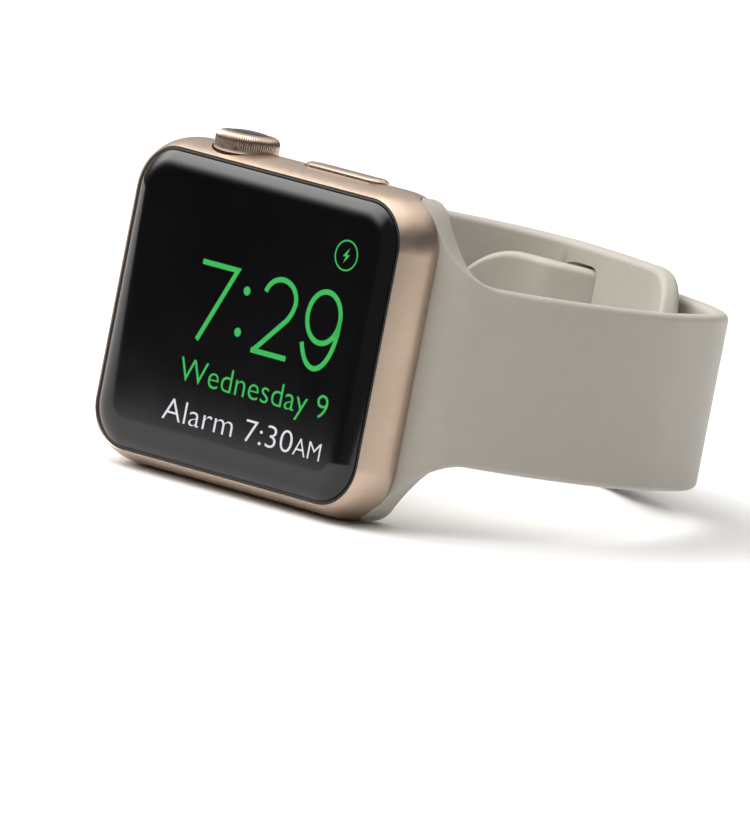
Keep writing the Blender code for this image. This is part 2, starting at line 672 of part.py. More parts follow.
def back_insides(frame):
    ring = tube_profile(COIL_INNER_RADIUS, COIL_OUTER_RADIUS, COIL_FRONT, COIL_BACK)
    coil = turned_about_depth("charging_coil", ring, frame, closed=True)
    finish(coil, material("coil_copper", (0.6, 0.25, 0.1), 0.35, 1.0))
    disc = [(MAGNET_RADIUS, COIL_FRONT), (MAGNET_RADIUS, COIL_BACK)]
    finish(turned_about_depth("alignment_magnet", disc, frame), steel())
    disc = [(SENSOR_BOARD_RADIUS, SENSOR_BOARD_FRONT), (SENSOR_BOARD_RADIUS, SENSOR_BOARD_BACK)]
    finish(turned_about_depth("sensor_board", disc, frame), material("board_green", (0.01, 0.07, 0.04), 0.45))
    front = SENSOR_BOARD_BACK + FIT_GAP
    half = CHIP_SIDE / 2
    names = ("light_emitter_1", "photodiode_1", "light_emitter_2", "photodiode_2")
    for name, (x, w) in zip(names, window_places()):
        chip = plate(name, half, half, CHIP_CORNER, front, front + CHIP_HEIGHT, frame, x, w, steps=2)
        finish(chip, dark_resin())


# ---------------------------------------------------------------- crown


def crown_cutters(frame):
    floor = SIDE_W - CROWN_UNDERCUT
    scoop = [(CROWN_RADIUS + 2 * RUNNING_GAP, floor), (CROWN_RADIUS + 2 * RUNNING_GAP, SIDE_W + CROWN_PROUD)]
    bore_radius = CROWN_SHAFT_RADIUS + FIT_GAP + CROWN_BUSH_WALL + FIT_GAP
    bore = [(bore_radius, CAVITY_HALF_W - FIT_GAP), (bore_radius, SIDE_W + FIT_GAP)]
    return (
        turned_about_crown_axis("crown_scoop", scoop, frame, CROWN_X, CROWN_LEVEL, steps=SCOOP_STEPS),
        turned_about_crown_axis("crown_bore", bore, frame, CROWN_X, CROWN_LEVEL, steps=SHAFT_STEPS),
    )


def crown_knob(frame):
    foot = SIDE_W - CROWN_UNDERCUT + CROWN_TRAVEL + FIT_GAP
    end = SIDE_W + CROWN_PROUD
    recess = CROWN_CAP_RADIUS + FIT_GAP
    edge = CROWN_EDGE_ROUND
    inset = edge * HALFWAY_ROUND
    low = CROWN_FOOT_ROUND
    low_inset = low * HALFWAY_ROUND
    profile = [(CROWN_RADIUS - low, foot), (CROWN_RADIUS - low_inset, foot + low_inset)]
    profile += [(CROWN_RADIUS, foot + low), (CROWN_RADIUS, end - edge)]
    profile += [(CROWN_RADIUS - inset, end - inset), (CROWN_RADIUS - edge, end)]
    profile += [(recess, end), (recess, end - CROWN_CAP_DEPTH - FIT_GAP)]
    knob = turned_about_crown_axis("crown_knob", profile, frame, CROWN_X, CROWN_LEVEL, steps=KNOB_STEPS)
    finish(knob, gold_aluminium())
    profile = [(CROWN_CAP_RADIUS, end - CROWN_CAP_DEPTH), (CROWN_CAP_RADIUS, end)]
    cap = turned_about_crown_axis("crown_cap", profile, frame, CROWN_X, CROWN_LEVEL)
    finish(cap, material("crown_cap_black", (0.01, 0.01, 0.01), 0.25))
    return foot


def turned_crown_part(name, profile, frame, closed=True):
    return turned_about_crown_axis(name, profile, frame, CROWN_X, CROWN_LEVEL, closed, SHAFT_STEPS)


def crown_parts(case_frame, carrier_frame, spin_frame):
    foot = crown_knob(spin_frame)
    x = CROWN_X
    d = CROWN_LEVEL
    switch_end = BAY_HIGH + RUNNING_GAP + SWITCH_HEIGHT
    plate_low = switch_end + CROWN_TRAVEL + FIT_GAP
    plate_high = plate_low + THRUST_PLATE_HEIGHT
    profile = [(CROWN_SHAFT_RADIUS, plate_high + FIT_GAP), (CROWN_SHAFT_RADIUS, foot - FIT_GAP)]
    finish(turned_crown_part("crown_shaft", profile, spin_frame, closed=False), steel())
    wheel_low = plate_high + ENCODER_STAND_OFF
    wheel_high = wheel_low + ENCODER_WHEEL_HEIGHT
    inner = CROWN_SHAFT_RADIUS + FIT_GAP
    wheel = tube_profile(inner, ENCODER_WHEEL_RADIUS, wheel_low, wheel_high)
    finish(turned_crown_part("encoder_wheel", wheel, spin_frame), dark_resin())
    outer = inner + CROWN_BUSH_WALL
    bush_low = CAVITY_HALF_W
    bush_high = SIDE_W - CROWN_UNDERCUT - CROWN_SEAL_HEIGHT - 2 * FIT_GAP
    bush = tube_profile(inner, outer, bush_low, bush_high)
    finish(turned_crown_part("crown_bush", bush, case_frame), steel())
    seal = tube_profile(inner, outer, bush_high + FIT_GAP, bush_high + FIT_GAP + CROWN_SEAL_HEIGHT)
    finish(turned_crown_part("crown_seal", seal, case_frame), black_seal())
    half = ENCODER_WHEEL_RADIUS - FIT_GAP
    low = (x - half, d - half, plate_low)
    finish(block("crown_thrust_plate", low, (x + half, d + half, plate_high), carrier_frame), steel())
    low = (x - half, d - half, switch_end - SWITCH_HEIGHT)
    finish(block("crown_switch", low, (x + half, d + half, switch_end), case_frame), dark_resin())
    right = x - ENCODER_WHEEL_RADIUS - RUNNING_GAP
    low = (right - ENCODER_WIDTH, d - half, wheel_low)
    high = (right, d + half, wheel_high)
    finish(block("crown_encoder", low, high, case_frame), dark_resin())


# ---------------------------------------------------------------- side button


def button_outline(grow=0.0):
    outline = stadium(BUTTON_LENGTH / 2 + grow, BUTTON_WIDTH / 2 + grow)
    return [(BUTTON_X + a, BUTTON_LEVEL + b) for a, b in outline]


def button_foot():
    return SIDE_W + BUTTON_PROUD - BUTTON_HEIGHT


def button_cutters(frame):
    pocket_floor = button_foot() - BUTTON_TRAVEL - FIT_GAP
    outline = button_outline(RUNNING_GAP)
    rings = [across(outline, pocket_floor), across(outline, SIDE_W + CROWN_PROUD)]
    bore_radius = STEM_RADIUS + FIT_GAP + STEM_SEAL_WALL + FIT_GAP
    bore = [(bore_radius, CAVITY_HALF_W - FIT_GAP), (bore_radius, SIDE_W)]
    return (
        add_object("button_pocket", rings, frame),
        turned_about_crown_axis("stem_bore", bore, frame, BUTTON_X, BUTTON_LEVEL, steps=SMALL_ROUND_STEPS),
    )


def side_button_parts(case_frame, button_frame):
    foot = button_foot()
    end = SIDE_W + BUTTON_PROUD
    outline = button_outline()
    rings = [across(outline, foot), across(outline, end - BUTTON_BEVEL)]
    rings.append(across(button_outline(-BUTTON_BEVEL), end))
    finish(add_object("side_button", rings, button_frame), gold_aluminium())
    stem_low = CAVITY_HALF_W - STEM_INSIDE
    profile = [(STEM_RADIUS, stem_low), (STEM_RADIUS, foot - FIT_GAP)]
    x = BUTTON_X
    d = BUTTON_LEVEL
    finish(turned_about_crown_axis("button_stem", profile, button_frame, x, d, steps=STEM_STEPS), steel())
    inner = STEM_RADIUS + FIT_GAP
    profile = tube_profile(inner, inner + STEM_SEAL_WALL, CAVITY_HALF_W, CAVITY_HALF_W + STEM_SEAL_HEIGHT)
    seal = turned_about_crown_axis("stem_seal", profile, case_frame, x, d, closed=True, steps=STEM_STEPS)
    finish(seal, black_seal())
    switch_high = stem_low - BUTTON_TRAVEL - FIT_GAP
    switch_low = switch_high - SWITCH_HEIGHT
    half = BUTTON_SWITCH_SIDE / 2
    low = (x - half, d - half, switch_low)
    switch = block("button_switch", low, (x + half, d + half, switch_high), case_frame)
    finish(switch, dark_resin())
    bracket_high = switch_low - FIT_GAP
    low = (x - BUTTON_LENGTH / 2, d - half, bracket_high - BRACKET_THICKNESS)
    high = (x + BUTTON_LENGTH / 2, d + half, bracket_high)
    finish(block("button_bracket", low, high, case_frame, corner=BRACKET_CORNER), steel())


# ---------------------------------------------------------------- the band's loop


def spline(points, steps):
    """Points of a Catmull-Rom curve through the given ones."""
    first = points[0] * 2 - points[1]
    last = points[-1] * 2 - points[-2]
    held = [first, *points, last]
    samples = []
    for i in range(1, len(held) - 2):
        before, start, end, after = held[i - 1 : i + 3]
        for step in range(steps):
            t = step / steps
            pull = (end - before) * t + (before * 2 - start * 5 + end * 4 - after) * t**2
            pull += (start * 3 - before - end * 3 + after) * t**3
            samples.append(start + pull / 2)
    samples.append(points[-1])
    return samples


class BandLoop:
    """The loop's middle line, measured along its length from the twelve o'clock lug."""

    def __init__(self):
        start_x = LUG_END_X
        mouth_x = LUG_END_X + LUG_FLUSH
        longer = CASE_LENGTH / LOOP_CASE_LENGTH
        deeper = LUG_LEVEL - LOOP_LUG_LEVEL
        points = [Vector((-start_x, LUG_LEVEL)), Vector((-mouth_x, LUG_LEVEL))]
        points += [Vector((x * MM * longer, d * MM + deeper)) for x, d in LOOP_POINTS]
        points += [Vector((mouth_x, LUG_LEVEL)), Vector((start_x, LUG_LEVEL))]
        self.samples = spline(points, LOOP_STEPS)
        self.reach = [0.0]
        for a, b in zip(self.samples, self.samples[1:]):
            self.reach.append(self.reach[-1] + (b - a).length)
        self.length = self.reach[-1]

    def at(self, along):
        """Middle point and outward direction at a distance along the loop."""
        along = min(max(along, 0.0), self.length)
        i = 0
        while self.reach[i + 1] < along and i < len(self.reach) - 2:
            i += 1
        a, b = self.samples[i], self.samples[i + 1]
        share = (along - self.reach[i]) / (self.reach[i + 1] - self.reach[i])
        before = self.samples[max(i - 1, 0)]
        after = self.samples[min(i + 2, len(self.samples) - 1)]
        direction = ((b - before) * (1 - share) + (after - a) * share).normalized()
        return a + (b - a) * share, Vector((-direction.y, direction.x))


def smooth(value, start, end):
    """0 before start, 1 after end, and an even S between them. start may be the larger."""
    share = min(max((value - start) / (end - start), 0.0), 1.0)
    return share * share * (3 - 2 * share)


def corner_reach(x):
    """Half width of the case at x near its end, at its widest level."""
    rest = max(CASE_CORNER**2 - (x - CORE_X) ** 2, 0.0)
    return CORE_W + math.sqrt(rest)


def root_thickness(from_lug):
    """Thickness of a strap near its lug end."""
    if from_lug < LUG_END_ROUND:
        return LUG_HEIGHT - 2 * (LUG_END_ROUND - from_lug)
    in_channel = smooth(from_lug, LUG_FLUSH, LUG_FLUSH * THROAT_SHARE)
    past_mouth = smooth(from_lug, LUG_FLUSH + MOUTH_RUN, LUG_FLUSH + FLARE_LENGTH)
    plain = MOUTH_HEIGHT + (STRAP_THICKNESS - MOUTH_HEIGHT) * past_mouth
    return plain + (LUG_HEIGHT - MOUTH_HEIGHT) * in_channel


def root_half_width(from_lug, half_width):
    """Half width of a strap near its lug end: flush with the case corner, then flaring in."""
    if from_lug <= LUG_FLUSH:
        return corner_reach(LUG_END_X + from_lug)
    share = min((from_lug - LUG_FLUSH) / FLARE_LENGTH, 1.0)
    flush = corner_reach(LUG_END_X + LUG_FLUSH)
    return half_width + (flush - half_width) * (1 - share) ** 2


class Strap:
    """One strap of the band: which way it runs along the loop, how wide it is and where it is shifted."""

    def __init__(self, loop, lug_along, tip_along, width, shift):
        self.loop = loop
        self.lug_along = lug_along
        self.direction = 1 if tip_along > lug_along else -1
        self.length = abs(tip_along - lug_along)
        self.half_width = width / 2
        self.shift = shift

    def stations(self):
        root = [0.0, LUG_END_ROUND / 2, LUG_END_ROUND]
        root += [LUG_FLUSH * share for share in LUG_SHARES]
        flare = [(i / FLARE_STEPS) ** FLARE_CROWDING for i in range(1, FLARE_STEPS + 1)]
        root += [LUG_FLUSH + FLARE_LENGTH * share for share in flare]
        tip_start = self.length - self.half_width
        start = root[-1]
        count = max(2, round((tip_start - start) / STATION_SPACING))
        middle = [start + (tip_start - start) * i / count for i in range(1, count + 1)]
        turns = [math.pi / 2 * i / TIP_STEPS for i in range(1, TIP_STEPS)]
        tip = [self.length - self.half_width * (1 - math.sin(turn)) for turn in turns]
        tip.append(self.length - self.half_width * TIP_END)
        return root + middle + tip

    def centre(self, from_lug):
        along = self.lug_along + self.direction * from_lug
        point, outward = self.loop.at(along)
        return point + outward * self.shift(along), outward

    def half_width_at(self, from_lug):
        half = root_half_width(from_lug, self.half_width)
        into_tip = from_lug - (self.length - self.half_width)
        if into_tip > 0:
            half = math.sqrt(max(self.half_width**2 - into_tip**2, 0.0))
        return half

    def ring(self, from_lug, grow=0.0):
        """The strap's section, with rounded edges."""
        point, outward = self.centre(from_lug)
        half_thickness = root_thickness(from_lug) / 2 + grow
        middle = self.half_width_at(from_lug) + grow
        past_root = smooth(from_lug, LUG_FLUSH, LUG_FLUSH + ROOT_EDGE_REACH * FLARE_LENGTH)
        edge = ROOT_EDGE_ROUND + (STRAP_EDGE_ROUND - ROOT_EDGE_ROUND) * past_root
        rounding = min(edge, half_thickness * ROUND_LIMIT, middle * ROUND_LIMIT)
        ring = []
        for a, b in rounded_outline(middle, half_thickness, rounding, SECTION_STEPS):
            place = point + outward * b
            ring.append(Vector((place.x, place.y, a)))
        return ring

    def solid(self, name, frame):
        return add_object(name, [self.ring(s) for s in self.stations()], frame)

    def stretch(self, name, start, end, grow, frame):
        """A thicker copy of part of the strap, to cut a passage for it."""
        count = max(2, round(abs(end - start) / (STATION_SPACING / 2)))
        rings = [self.ring(start + (end - start) * i / count, grow) for i in range(count + 1)]
        return add_object(name, rings, frame)


class Band:
    """Places along the loop that both straps share."""

    def __init__(self):
        self.loop = BandLoop()
        self.tip = self.loop.length - TIP_FROM_LUG
        self.stud = self.tip - STUD_FROM_TIP
        self.slot = self.stud - SLOT_FROM_STUD
        self.tail = self.slot - CROSSING_LENGTH / 2 - TAIL_LENGTH
        self.short = Strap(self.loop, 0.0, self.tip, SHORT_STRAP_WIDTH, self.short_shift)
        self.long = Strap(self.loop, self.loop.length, self.tail, LONG_STRAP_WIDTH, self.long_shift)

    def short_shift(self, along):
        return -TIP_STAND_OFF * smooth(along, self.stud, self.tip)

    def long_shift(self, along):
        on_top = LAYER_STEP * smooth(along, self.tip + LIFT_LENGTH, self.tip)
        half = CROSSING_LENGTH / 2
        through = 2 * LAYER_STEP * smooth(along, self.slot + half, self.slot - half)
        return on_top - through


def turned_about_outward(name, profile, point, outward, frame, steps=SMALL_ROUND_STEPS):
    """A solid turned about the band's outward direction. profile holds pairs of radius and height."""
    along = Vector((outward.y, -outward.x))
    rings = []
    for radius, height in profile:
        ring = []
        for a, b in circle_outline(radius, steps):
            place = point + outward * height + along * a
            ring.append(Vector((place.x, place.y, b)))
        rings.append(ring)
    return add_object(name, rings, frame)


def strap_short(band, frame):
    strap = band.short.solid("strap_short", frame)
    start = band.loop.length - (band.slot + CROSSING_LENGTH / 2)
    end = band.loop.length - (band.slot - CROSSING_LENGTH / 2)
    slot = band.long.stretch("tuck_slot", start, end, SLOT_CLEARANCE, frame)
    point, outward = band.loop.at(band.stud)
    bottom = -STRAP_THICKNESS / 2
    hole = [(STUD_SHAFT_RADIUS + FIT_GAP, bottom - FIT_GAP), (STUD_SHAFT_RADIUS + FIT_GAP, -bottom + FIT_GAP)]
    flange = STUD_FLANGE_RADIUS + FIT_GAP
    recess = [(flange, bottom - CUT_PAST), (flange, bottom + STUD_FLANGE_HEIGHT + FIT_GAP)]
    cutters = [slot, turned_about_outward("stud_hole", hole, point, outward, frame)]
    cutters.append(turned_about_outward("stud_recess", recess, point, outward, frame, steps=STUD_STEPS))
    cutters += lug_cutters(-1, frame)
    finish(cut(strap, cutters), strap_elastomer())


def closure_stud(band, frame):
    point, outward = band.loop.at(band.stud)
    bottom = -STRAP_THICKNESS / 2
    head = LAYER_STEP + STRAP_THICKNESS / 2 + FIT_GAP
    profile = [(STUD_FLANGE_RADIUS, bottom), (STUD_FLANGE_RADIUS, bottom + STUD_FLANGE_HEIGHT)]
    profile += [(STUD_SHAFT_RADIUS, bottom + STUD_FLANGE_HEIGHT), (STUD_SHAFT_RADIUS, head)]
    profile += [(STUD_HEAD_RADIUS * out, head + STUD_HEAD_HEIGHT * up) for out, up in STUD_HEAD_SHAPE]
    stud = turned_about_outward("closure_stud", profile, point, outward, frame, steps=STUD_STEPS)
    finish(stud, gold_aluminium())


def strap_long(band, frame):
    strap = band.long.solid("strap_long", frame)
    cutters = lug_cutters(1, frame)
    reach = STRAP_THICKNESS
    profile = [(HOLE_RADIUS, -reach), (HOLE_RADIUS, reach)]
    for number in range(HOLE_COUNT):
        along = band.stud + (HOLES_BEFORE_STUD - number) * -HOLE_PITCH
        point, outward = band.long.centre(band.loop.length - along)
        cutters.append(turned_about_outward(f"size_hole_{number + 1}", profile, point, outward, frame))
    finish(cut(strap, cutters), strap_elastomer())


# ---------------------------------------------------------------- lugs, latches and release buttons


def channel_outline(side, loop):
    """Section of the channel in x and d: the strap's root with a gap round it."""
    stations = [0.0, LUG_END_ROUND]
    stations += [LUG_FLUSH * share for share in LUG_SHARES[1:]]
    outside = LUG_DEPTH + CUT_PAST - LUG_FLUSH
    stations += [LUG_FLUSH + outside * i / CHANNEL_STEPS for i in range(1, CHANNEL_STEPS + 1)]
    front = []
    back = []
    for from_lug in stations:
        half = root_thickness(from_lug) / 2 + FIT_GAP
        point, outward = loop.at(from_lug if side < 0 else loop.length - from_lug)
        front.append(point + outward * half)
        back.append(point - outward * half)
    floor = Vector((side * FIT_GAP, 0))
    front[0] = front[0] - floor
    back[0] = back[0] - floor
    return front + list(reversed(back))


def side_name(side):
    return "6" if side > 0 else "12"


def channel_cutters(frame, loop):
    made = []
    for side in (-1, 1):
        outline = channel_outline(side, loop)
        rings = [across(outline, -CASE_WIDTH), across(outline, CASE_WIDTH)]
        made.append(add_object("channel_" + side_name(side), rings, frame))
        made.append(latch_groove(side, frame))
    return made


def latch_groove(side, frame):
    """Groove that the latch runs in when the band slides out along w."""
    half = LATCH_WIDTH / 2 + RUNNING_GAP
    x = side * RELEASE_X
    back = CHANNEL_BACK + LATCH_PROUD
    outline = [(x - half, LUG_LEVEL), (x + half, LUG_LEVEL), (x + half, back), (x - half, back)]
    rings = [across(outline, -CASE_WIDTH), across(outline, CASE_WIDTH)]
    return add_object("latch_groove_" + side_name(side), rings, frame)


def upright_slot(name, side, half_length, half_width, front, back, frame):
    """A block with round ends, long along w, at a release button's place."""
    outline = [(b, a) for a, b in stadium(half_length, half_width)]
    rings = [at_depth(outline, front, side * RELEASE_X), at_depth(outline, back, side * RELEASE_X)]
    return add_object(name, rings, frame)


def release_cutters(frame):
    made = []
    half_length = RELEASE_LENGTH / 2 + FIT_GAP
    half_width = RELEASE_WIDTH / 2 + FIT_GAP
    outside = CASE_DEPTH + CUT_PAST
    for side in (-1, 1):
        name = "release_hole_" + side_name(side)
        made.append(upright_slot(name, side, half_length, half_width, LUG_LEVEL, outside, frame))
    return made


def lug_cutters(side, frame):
    """Pockets in a strap's lug for the latch with its spring, and for the metal insert."""
    half_length = LATCH_LENGTH / 2 + FIT_GAP
    half_width = LATCH_WIDTH / 2 + FIT_GAP
    floor = latch_front() - RELEASE_TRAVEL - LATCH_SPRING_THICKNESS - 3 * FIT_GAP
    name = side_name(side)
    pocket = upright_slot("latch_pocket_" + name, side, half_length, half_width, floor, CASE_DEPTH, frame)
    lug_front = LUG_LEVEL - LUG_HEIGHT / 2
    half_x = INSERT_WIDTH / 2 + FIT_GAP
    half_w = INSERT_LENGTH / 2 + FIT_GAP
    back = lug_front + INSERT_THICKNESS + 2 * FIT_GAP
    front = lug_front - CUT_PAST
    bed = plate("insert_bed_" + name, half_x, half_w, half_x / 2, front, back, frame, insert_x(side))
    return [pocket, bed]


def latch_front():
    return CHANNEL_BACK - FIT_GAP + LATCH_PROUD - LATCH_HEIGHT


def insert_x(side):
    return side * (LUG_END_X + LUG_END_ROUND + INSERT_WIDTH / 2 + 2 * FIT_GAP)


def lug_parts(side, strap_frame, latch_frame):
    name = side_name(side)
    front = latch_front()
    back = front + LATCH_HEIGHT
    half_length = LATCH_LENGTH / 2
    half = LATCH_WIDTH / 2
    latch = upright_slot("lug_latch_" + name, side, half_length, half, front, back, latch_frame)
    finish(latch, steel())
    half_length -= RUNNING_GAP
    half -= FIT_GAP
    back = front - RELEASE_TRAVEL - FIT_GAP
    front = back - LATCH_SPRING_THICKNESS
    spring = upright_slot("latch_spring_" + name, side, half_length, half, front, back, strap_frame)
    finish(spring, steel())
    front = LUG_LEVEL - LUG_HEIGHT / 2 + FIT_GAP / 2
    back = front + INSERT_THICKNESS
    half_x = INSERT_WIDTH / 2
    half_w = INSERT_LENGTH / 2
    x = insert_x(side)
    insert = plate("lug_insert_" + name, half_x, half_w, half_x / 2, front, back, strap_frame, x)
    finish(insert, steel())


def release_button(side, frame):
    front = CHANNEL_BACK + LATCH_PROUD + FIT_GAP
    back = CASE_DEPTH
    half_length = RELEASE_LENGTH / 2
    half = RELEASE_WIDTH / 2
    name = "release_button_" + side_name(side)
    finish(upright_slot(name, side, half_length, half, front, back, frame), gold_aluminium())


# ---------------------------------------------------------------- the whole watch


def rest_tilt(band):
    """Angle at which the case's side and the band's far edge both lie on a level surface."""
    far = max(sample.y for sample in band.loop.samples)
    return math.atan2((CASE_WIDTH - SHORT_STRAP_WIDTH) / 2, far - CASE_WIDEST)


def lay_on_side(watch, band):
    """Turns the watch onto its side and lifts it so that its lowest point is at Z 0."""
    watch.rotation_euler = (-rest_tilt(band), 0.0, 0.0)
    bpy.context.view_layer.update()
    places = []
    for part in bpy.data.objects:
        if part.type == "MESH" and not part.hide_render:
            places += [part.matrix_world @ vertex.co for vertex in part.data.vertices]
    watch.location.x = -(min(p.x for p in places) + max(p.x for p in places)) / 2
    watch.location.y = -(min(p.y for p in places) + max(p.y for p in places)) / 2
    watch.location.z = -min(p.z for p in places)


def main():
    clear_scene()
    watch = empty("watch", (0, 0, 0))
    band = Band()
    crown_place = Vector((CROWN_X, CROWN_LEVEL, SIDE_W))
    crown_carrier = empty("crown_press_axis", crown_place, watch)
    crown_spin = empty("crown_spin_axis", crown_place, watch)
    button = empty("side_button_axis", Vector((BUTTON_X, BUTTON_LEVEL, SIDE_W)), watch)
    case_body(watch, band.loop)
    cover_glass(watch)
    glass_gasket(watch)
    display_parts(watch)
    inner_plate(watch)
    main_board(watch)
    board_screws(watch)
    bay_parts(watch)
    sound_parts(watch)
    back_parts(watch)
    back_insides(watch)
    crown_parts(watch, crown_carrier, crown_spin)
    side_button_parts(watch, button)
    straps = {}
    for side in (-1, 1):
        name = side_name(side)
        release = empty("release_axis_" + name, Vector((side * RELEASE_X, CASE_DEPTH, 0)), watch)
        straps[side] = empty("strap_slide_axis_" + name, Vector((side * RELEASE_X, LUG_LEVEL, 0)), watch)
        latch = empty("latch_axis_" + name, Vector((side * RELEASE_X, CHANNEL_BACK, 0)), watch)
        release_button(side, release)
        lug_parts(side, straps[side], latch)
    strap_short(band, straps[-1])
    closure_stud(band, straps[-1])
    strap_long(band, straps[1])
    lay_on_side(watch, band)


main()
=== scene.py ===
"""Looks of the smartwatch: fine meshes and materials round the fixed frame, with a plain studio."""

import json
import math

import bmesh
import bpy
from bpy.props import FloatProperty, FloatVectorProperty, IntProperty, PointerProperty
from mathutils import Matrix, Vector


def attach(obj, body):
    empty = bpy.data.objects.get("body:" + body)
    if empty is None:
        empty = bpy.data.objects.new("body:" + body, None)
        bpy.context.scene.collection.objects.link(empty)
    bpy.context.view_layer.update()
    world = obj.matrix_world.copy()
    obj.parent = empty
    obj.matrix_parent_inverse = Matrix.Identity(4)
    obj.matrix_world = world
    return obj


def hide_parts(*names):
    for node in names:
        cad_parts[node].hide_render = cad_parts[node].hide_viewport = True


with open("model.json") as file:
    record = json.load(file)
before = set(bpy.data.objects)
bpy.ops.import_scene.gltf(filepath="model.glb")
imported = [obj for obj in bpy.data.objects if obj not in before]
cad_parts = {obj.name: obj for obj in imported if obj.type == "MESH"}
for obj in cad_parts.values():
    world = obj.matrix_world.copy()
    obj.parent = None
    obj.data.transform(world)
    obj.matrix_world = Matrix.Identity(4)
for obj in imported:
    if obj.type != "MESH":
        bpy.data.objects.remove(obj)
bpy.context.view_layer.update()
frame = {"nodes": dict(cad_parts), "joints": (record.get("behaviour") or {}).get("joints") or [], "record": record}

bl_info = {
    "name": "Smartwatch dresser",
    "version": (1, 0, 0),
    "blender": (4, 5, 0),
    "location": "View3D > Sidebar > Watch",
    "description": "Builds the visible surfaces of a smartwatch on its elastomer band",
    "category": "Object",
}

MM = 0.001
TEXT_FONT_STEP = 4
DISPLAY_SHIFT = Vector((0.85, 0.1)) * MM

# The watch's own axes


def record_item(group, name):
    return next(item for item in group if item["name"] == name)


def corners_of(points):
    """The lowest and the highest corner of the box round the points."""
    columns = list(zip(*points))
    return Vector([min(column) for column in columns]), Vector([max(column) for column in columns])


def watch_axes():
    """The watch's axes in the row frame: x to the six o'clock end, d to the back, w to the crown."""
    to_back = Vector(record_item(frame["record"]["mounts"], "charger_face")["axis"]).normalized()
    to_crown = Vector(record_item(frame["joints"], "crown_spin")["axis"]).normalized()
    to_six = to_back.cross(to_crown)
    turn = Matrix((to_six, to_back, to_crown))
    low, high = corners_of([turn @ vertex.co for vertex in frame["nodes"]["case_body"].data.vertices])
    origin = Vector(((low.x + high.x) / 2, low.y, (low.z + high.z) / 2))
    return Matrix.Translation(turn.transposed() @ origin) @ turn.transposed().to_4x4()


WATCH = watch_axes()
INTO_WATCH = WATCH.inverted()


class Extent:
    """A CAD node's lowest and highest x, d and w, in the watch's axes."""

    def __init__(self, node):
        vertices = frame["nodes"][node].data.vertices
        self.low, self.high = corners_of([INTO_WATCH @ vertex.co for vertex in vertices])
        self.middle = (self.low + self.high) / 2
        self.size = self.high - self.low


# Sizes read from the frame

CASE = Extent("case_body")
GLASS = Extent("cover_glass")
GASKET = Extent("glass_gasket")
CROWN = Extent("crown_knob")
CROWN_CAP = Extent("crown_cap")
BUTTON = Extent("side_button")
COVER = Extent("back_cover")
CRYSTAL = Extent("back_crystal")

# What the frame's boxes don't hold: the same driving sizes that the CAD was drawn from.
CASE_CORNER = 6.45 * MM
CASE_BULGE = 1.3 * MM
CASE_WIDEST = 4.45 * MM
SIDE_CURVE_REACH = 5.6 * MM
BACK_EDGE_ROUND = 0.45 * MM
BACK_WALL = 0.7 * MM
SEAT_DEPTH = 1.9 * MM
FIT_GAP = 0.1 * MM
RUNNING_GAP = 0.2 * MM
LUG_DEPTH = 4.1 * MM
LUG_HEIGHT = 3.4 * MM
MOUTH_HEIGHT = 3.0 * MM
LUG_LEVEL = 6.125 * MM
LUG_FLUSH = 2.8 * MM
LUG_END_ROUND = 0.5 * MM
ROOT_EDGE = 0.3 * MM
FLARE_LENGTH = 7.5 * MM
CROWN_ROOM = 0.4 * MM
STRAP_THICKNESS = 2.3 * MM
LAYER_GAP = 0.3 * MM
SLOT_CLEARANCE = 0.35 * MM
TIP_FROM_LUG = 52.5 * MM
STUD_FROM_TIP = 11.5 * MM
SLOT_FROM_STUD = 13.0 * MM
CROSSING_LENGTH = 14.0 * MM
TAIL_LENGTH = 14.0 * MM
TIP_STAND_OFF = 2.2 * MM
LIFT_LENGTH = 16.0 * MM
HOLE_COUNT = 7
HOLE_PITCH = 6.6 * MM
HOLE_RADIUS = 1.5 * MM
HOLES_BEFORE_STUD = 4
STUD_SHAFT_RADIUS = 1.1 * MM
STUD_FLANGE_RADIUS = 3.3 * MM
STUD_FLANGE_HEIGHT = 0.6 * MM
STUD_HEAD_RADIUS = 1.95 * MM
STUD_HEAD_HEIGHT = 0.9 * MM
# The loop's middle line from the twelve o'clock side to the six, as x and d in millimetres
LOOP_POINTS = (
    (-23.6, 7.3),
    (-26.8, 10.6),
    (-29.8, 16.4),
    (-31.3, 24.5),
    (-31.0, 34.5),
    (-28.6, 43.8),
    (-23.8, 51.2),
    (-17.2, 56.0),
    (-9.5, 57.9),
    (-1.8, 56.8),
    (5.6, 54.5),
    (11.6, 52.2),
    (17.6, 49.5),
    (23.0, 45.9),
    (27.7, 41.0),
    (30.7, 34.6),
    (31.5, 27.2),
    (30.6, 20.2),
    (28.7, 14.5),
    (26.2, 10.3),
    (23.6, 7.3),
)

CORE_X = CASE.size.x / 2 - CASE_CORNER
CORE_W = CASE.size.z / 2 - CASE_CORNER
LIP_CORNER = CASE_CORNER - CASE_BULGE
SEAT_CORNER = LIP_CORNER - FIT_GAP
CASE_DEPTH = CASE.high.y
LUG_END_X = CASE.size.x / 2 - LUG_DEPTH
LAYER_STEP = STRAP_THICKNESS + LAYER_GAP

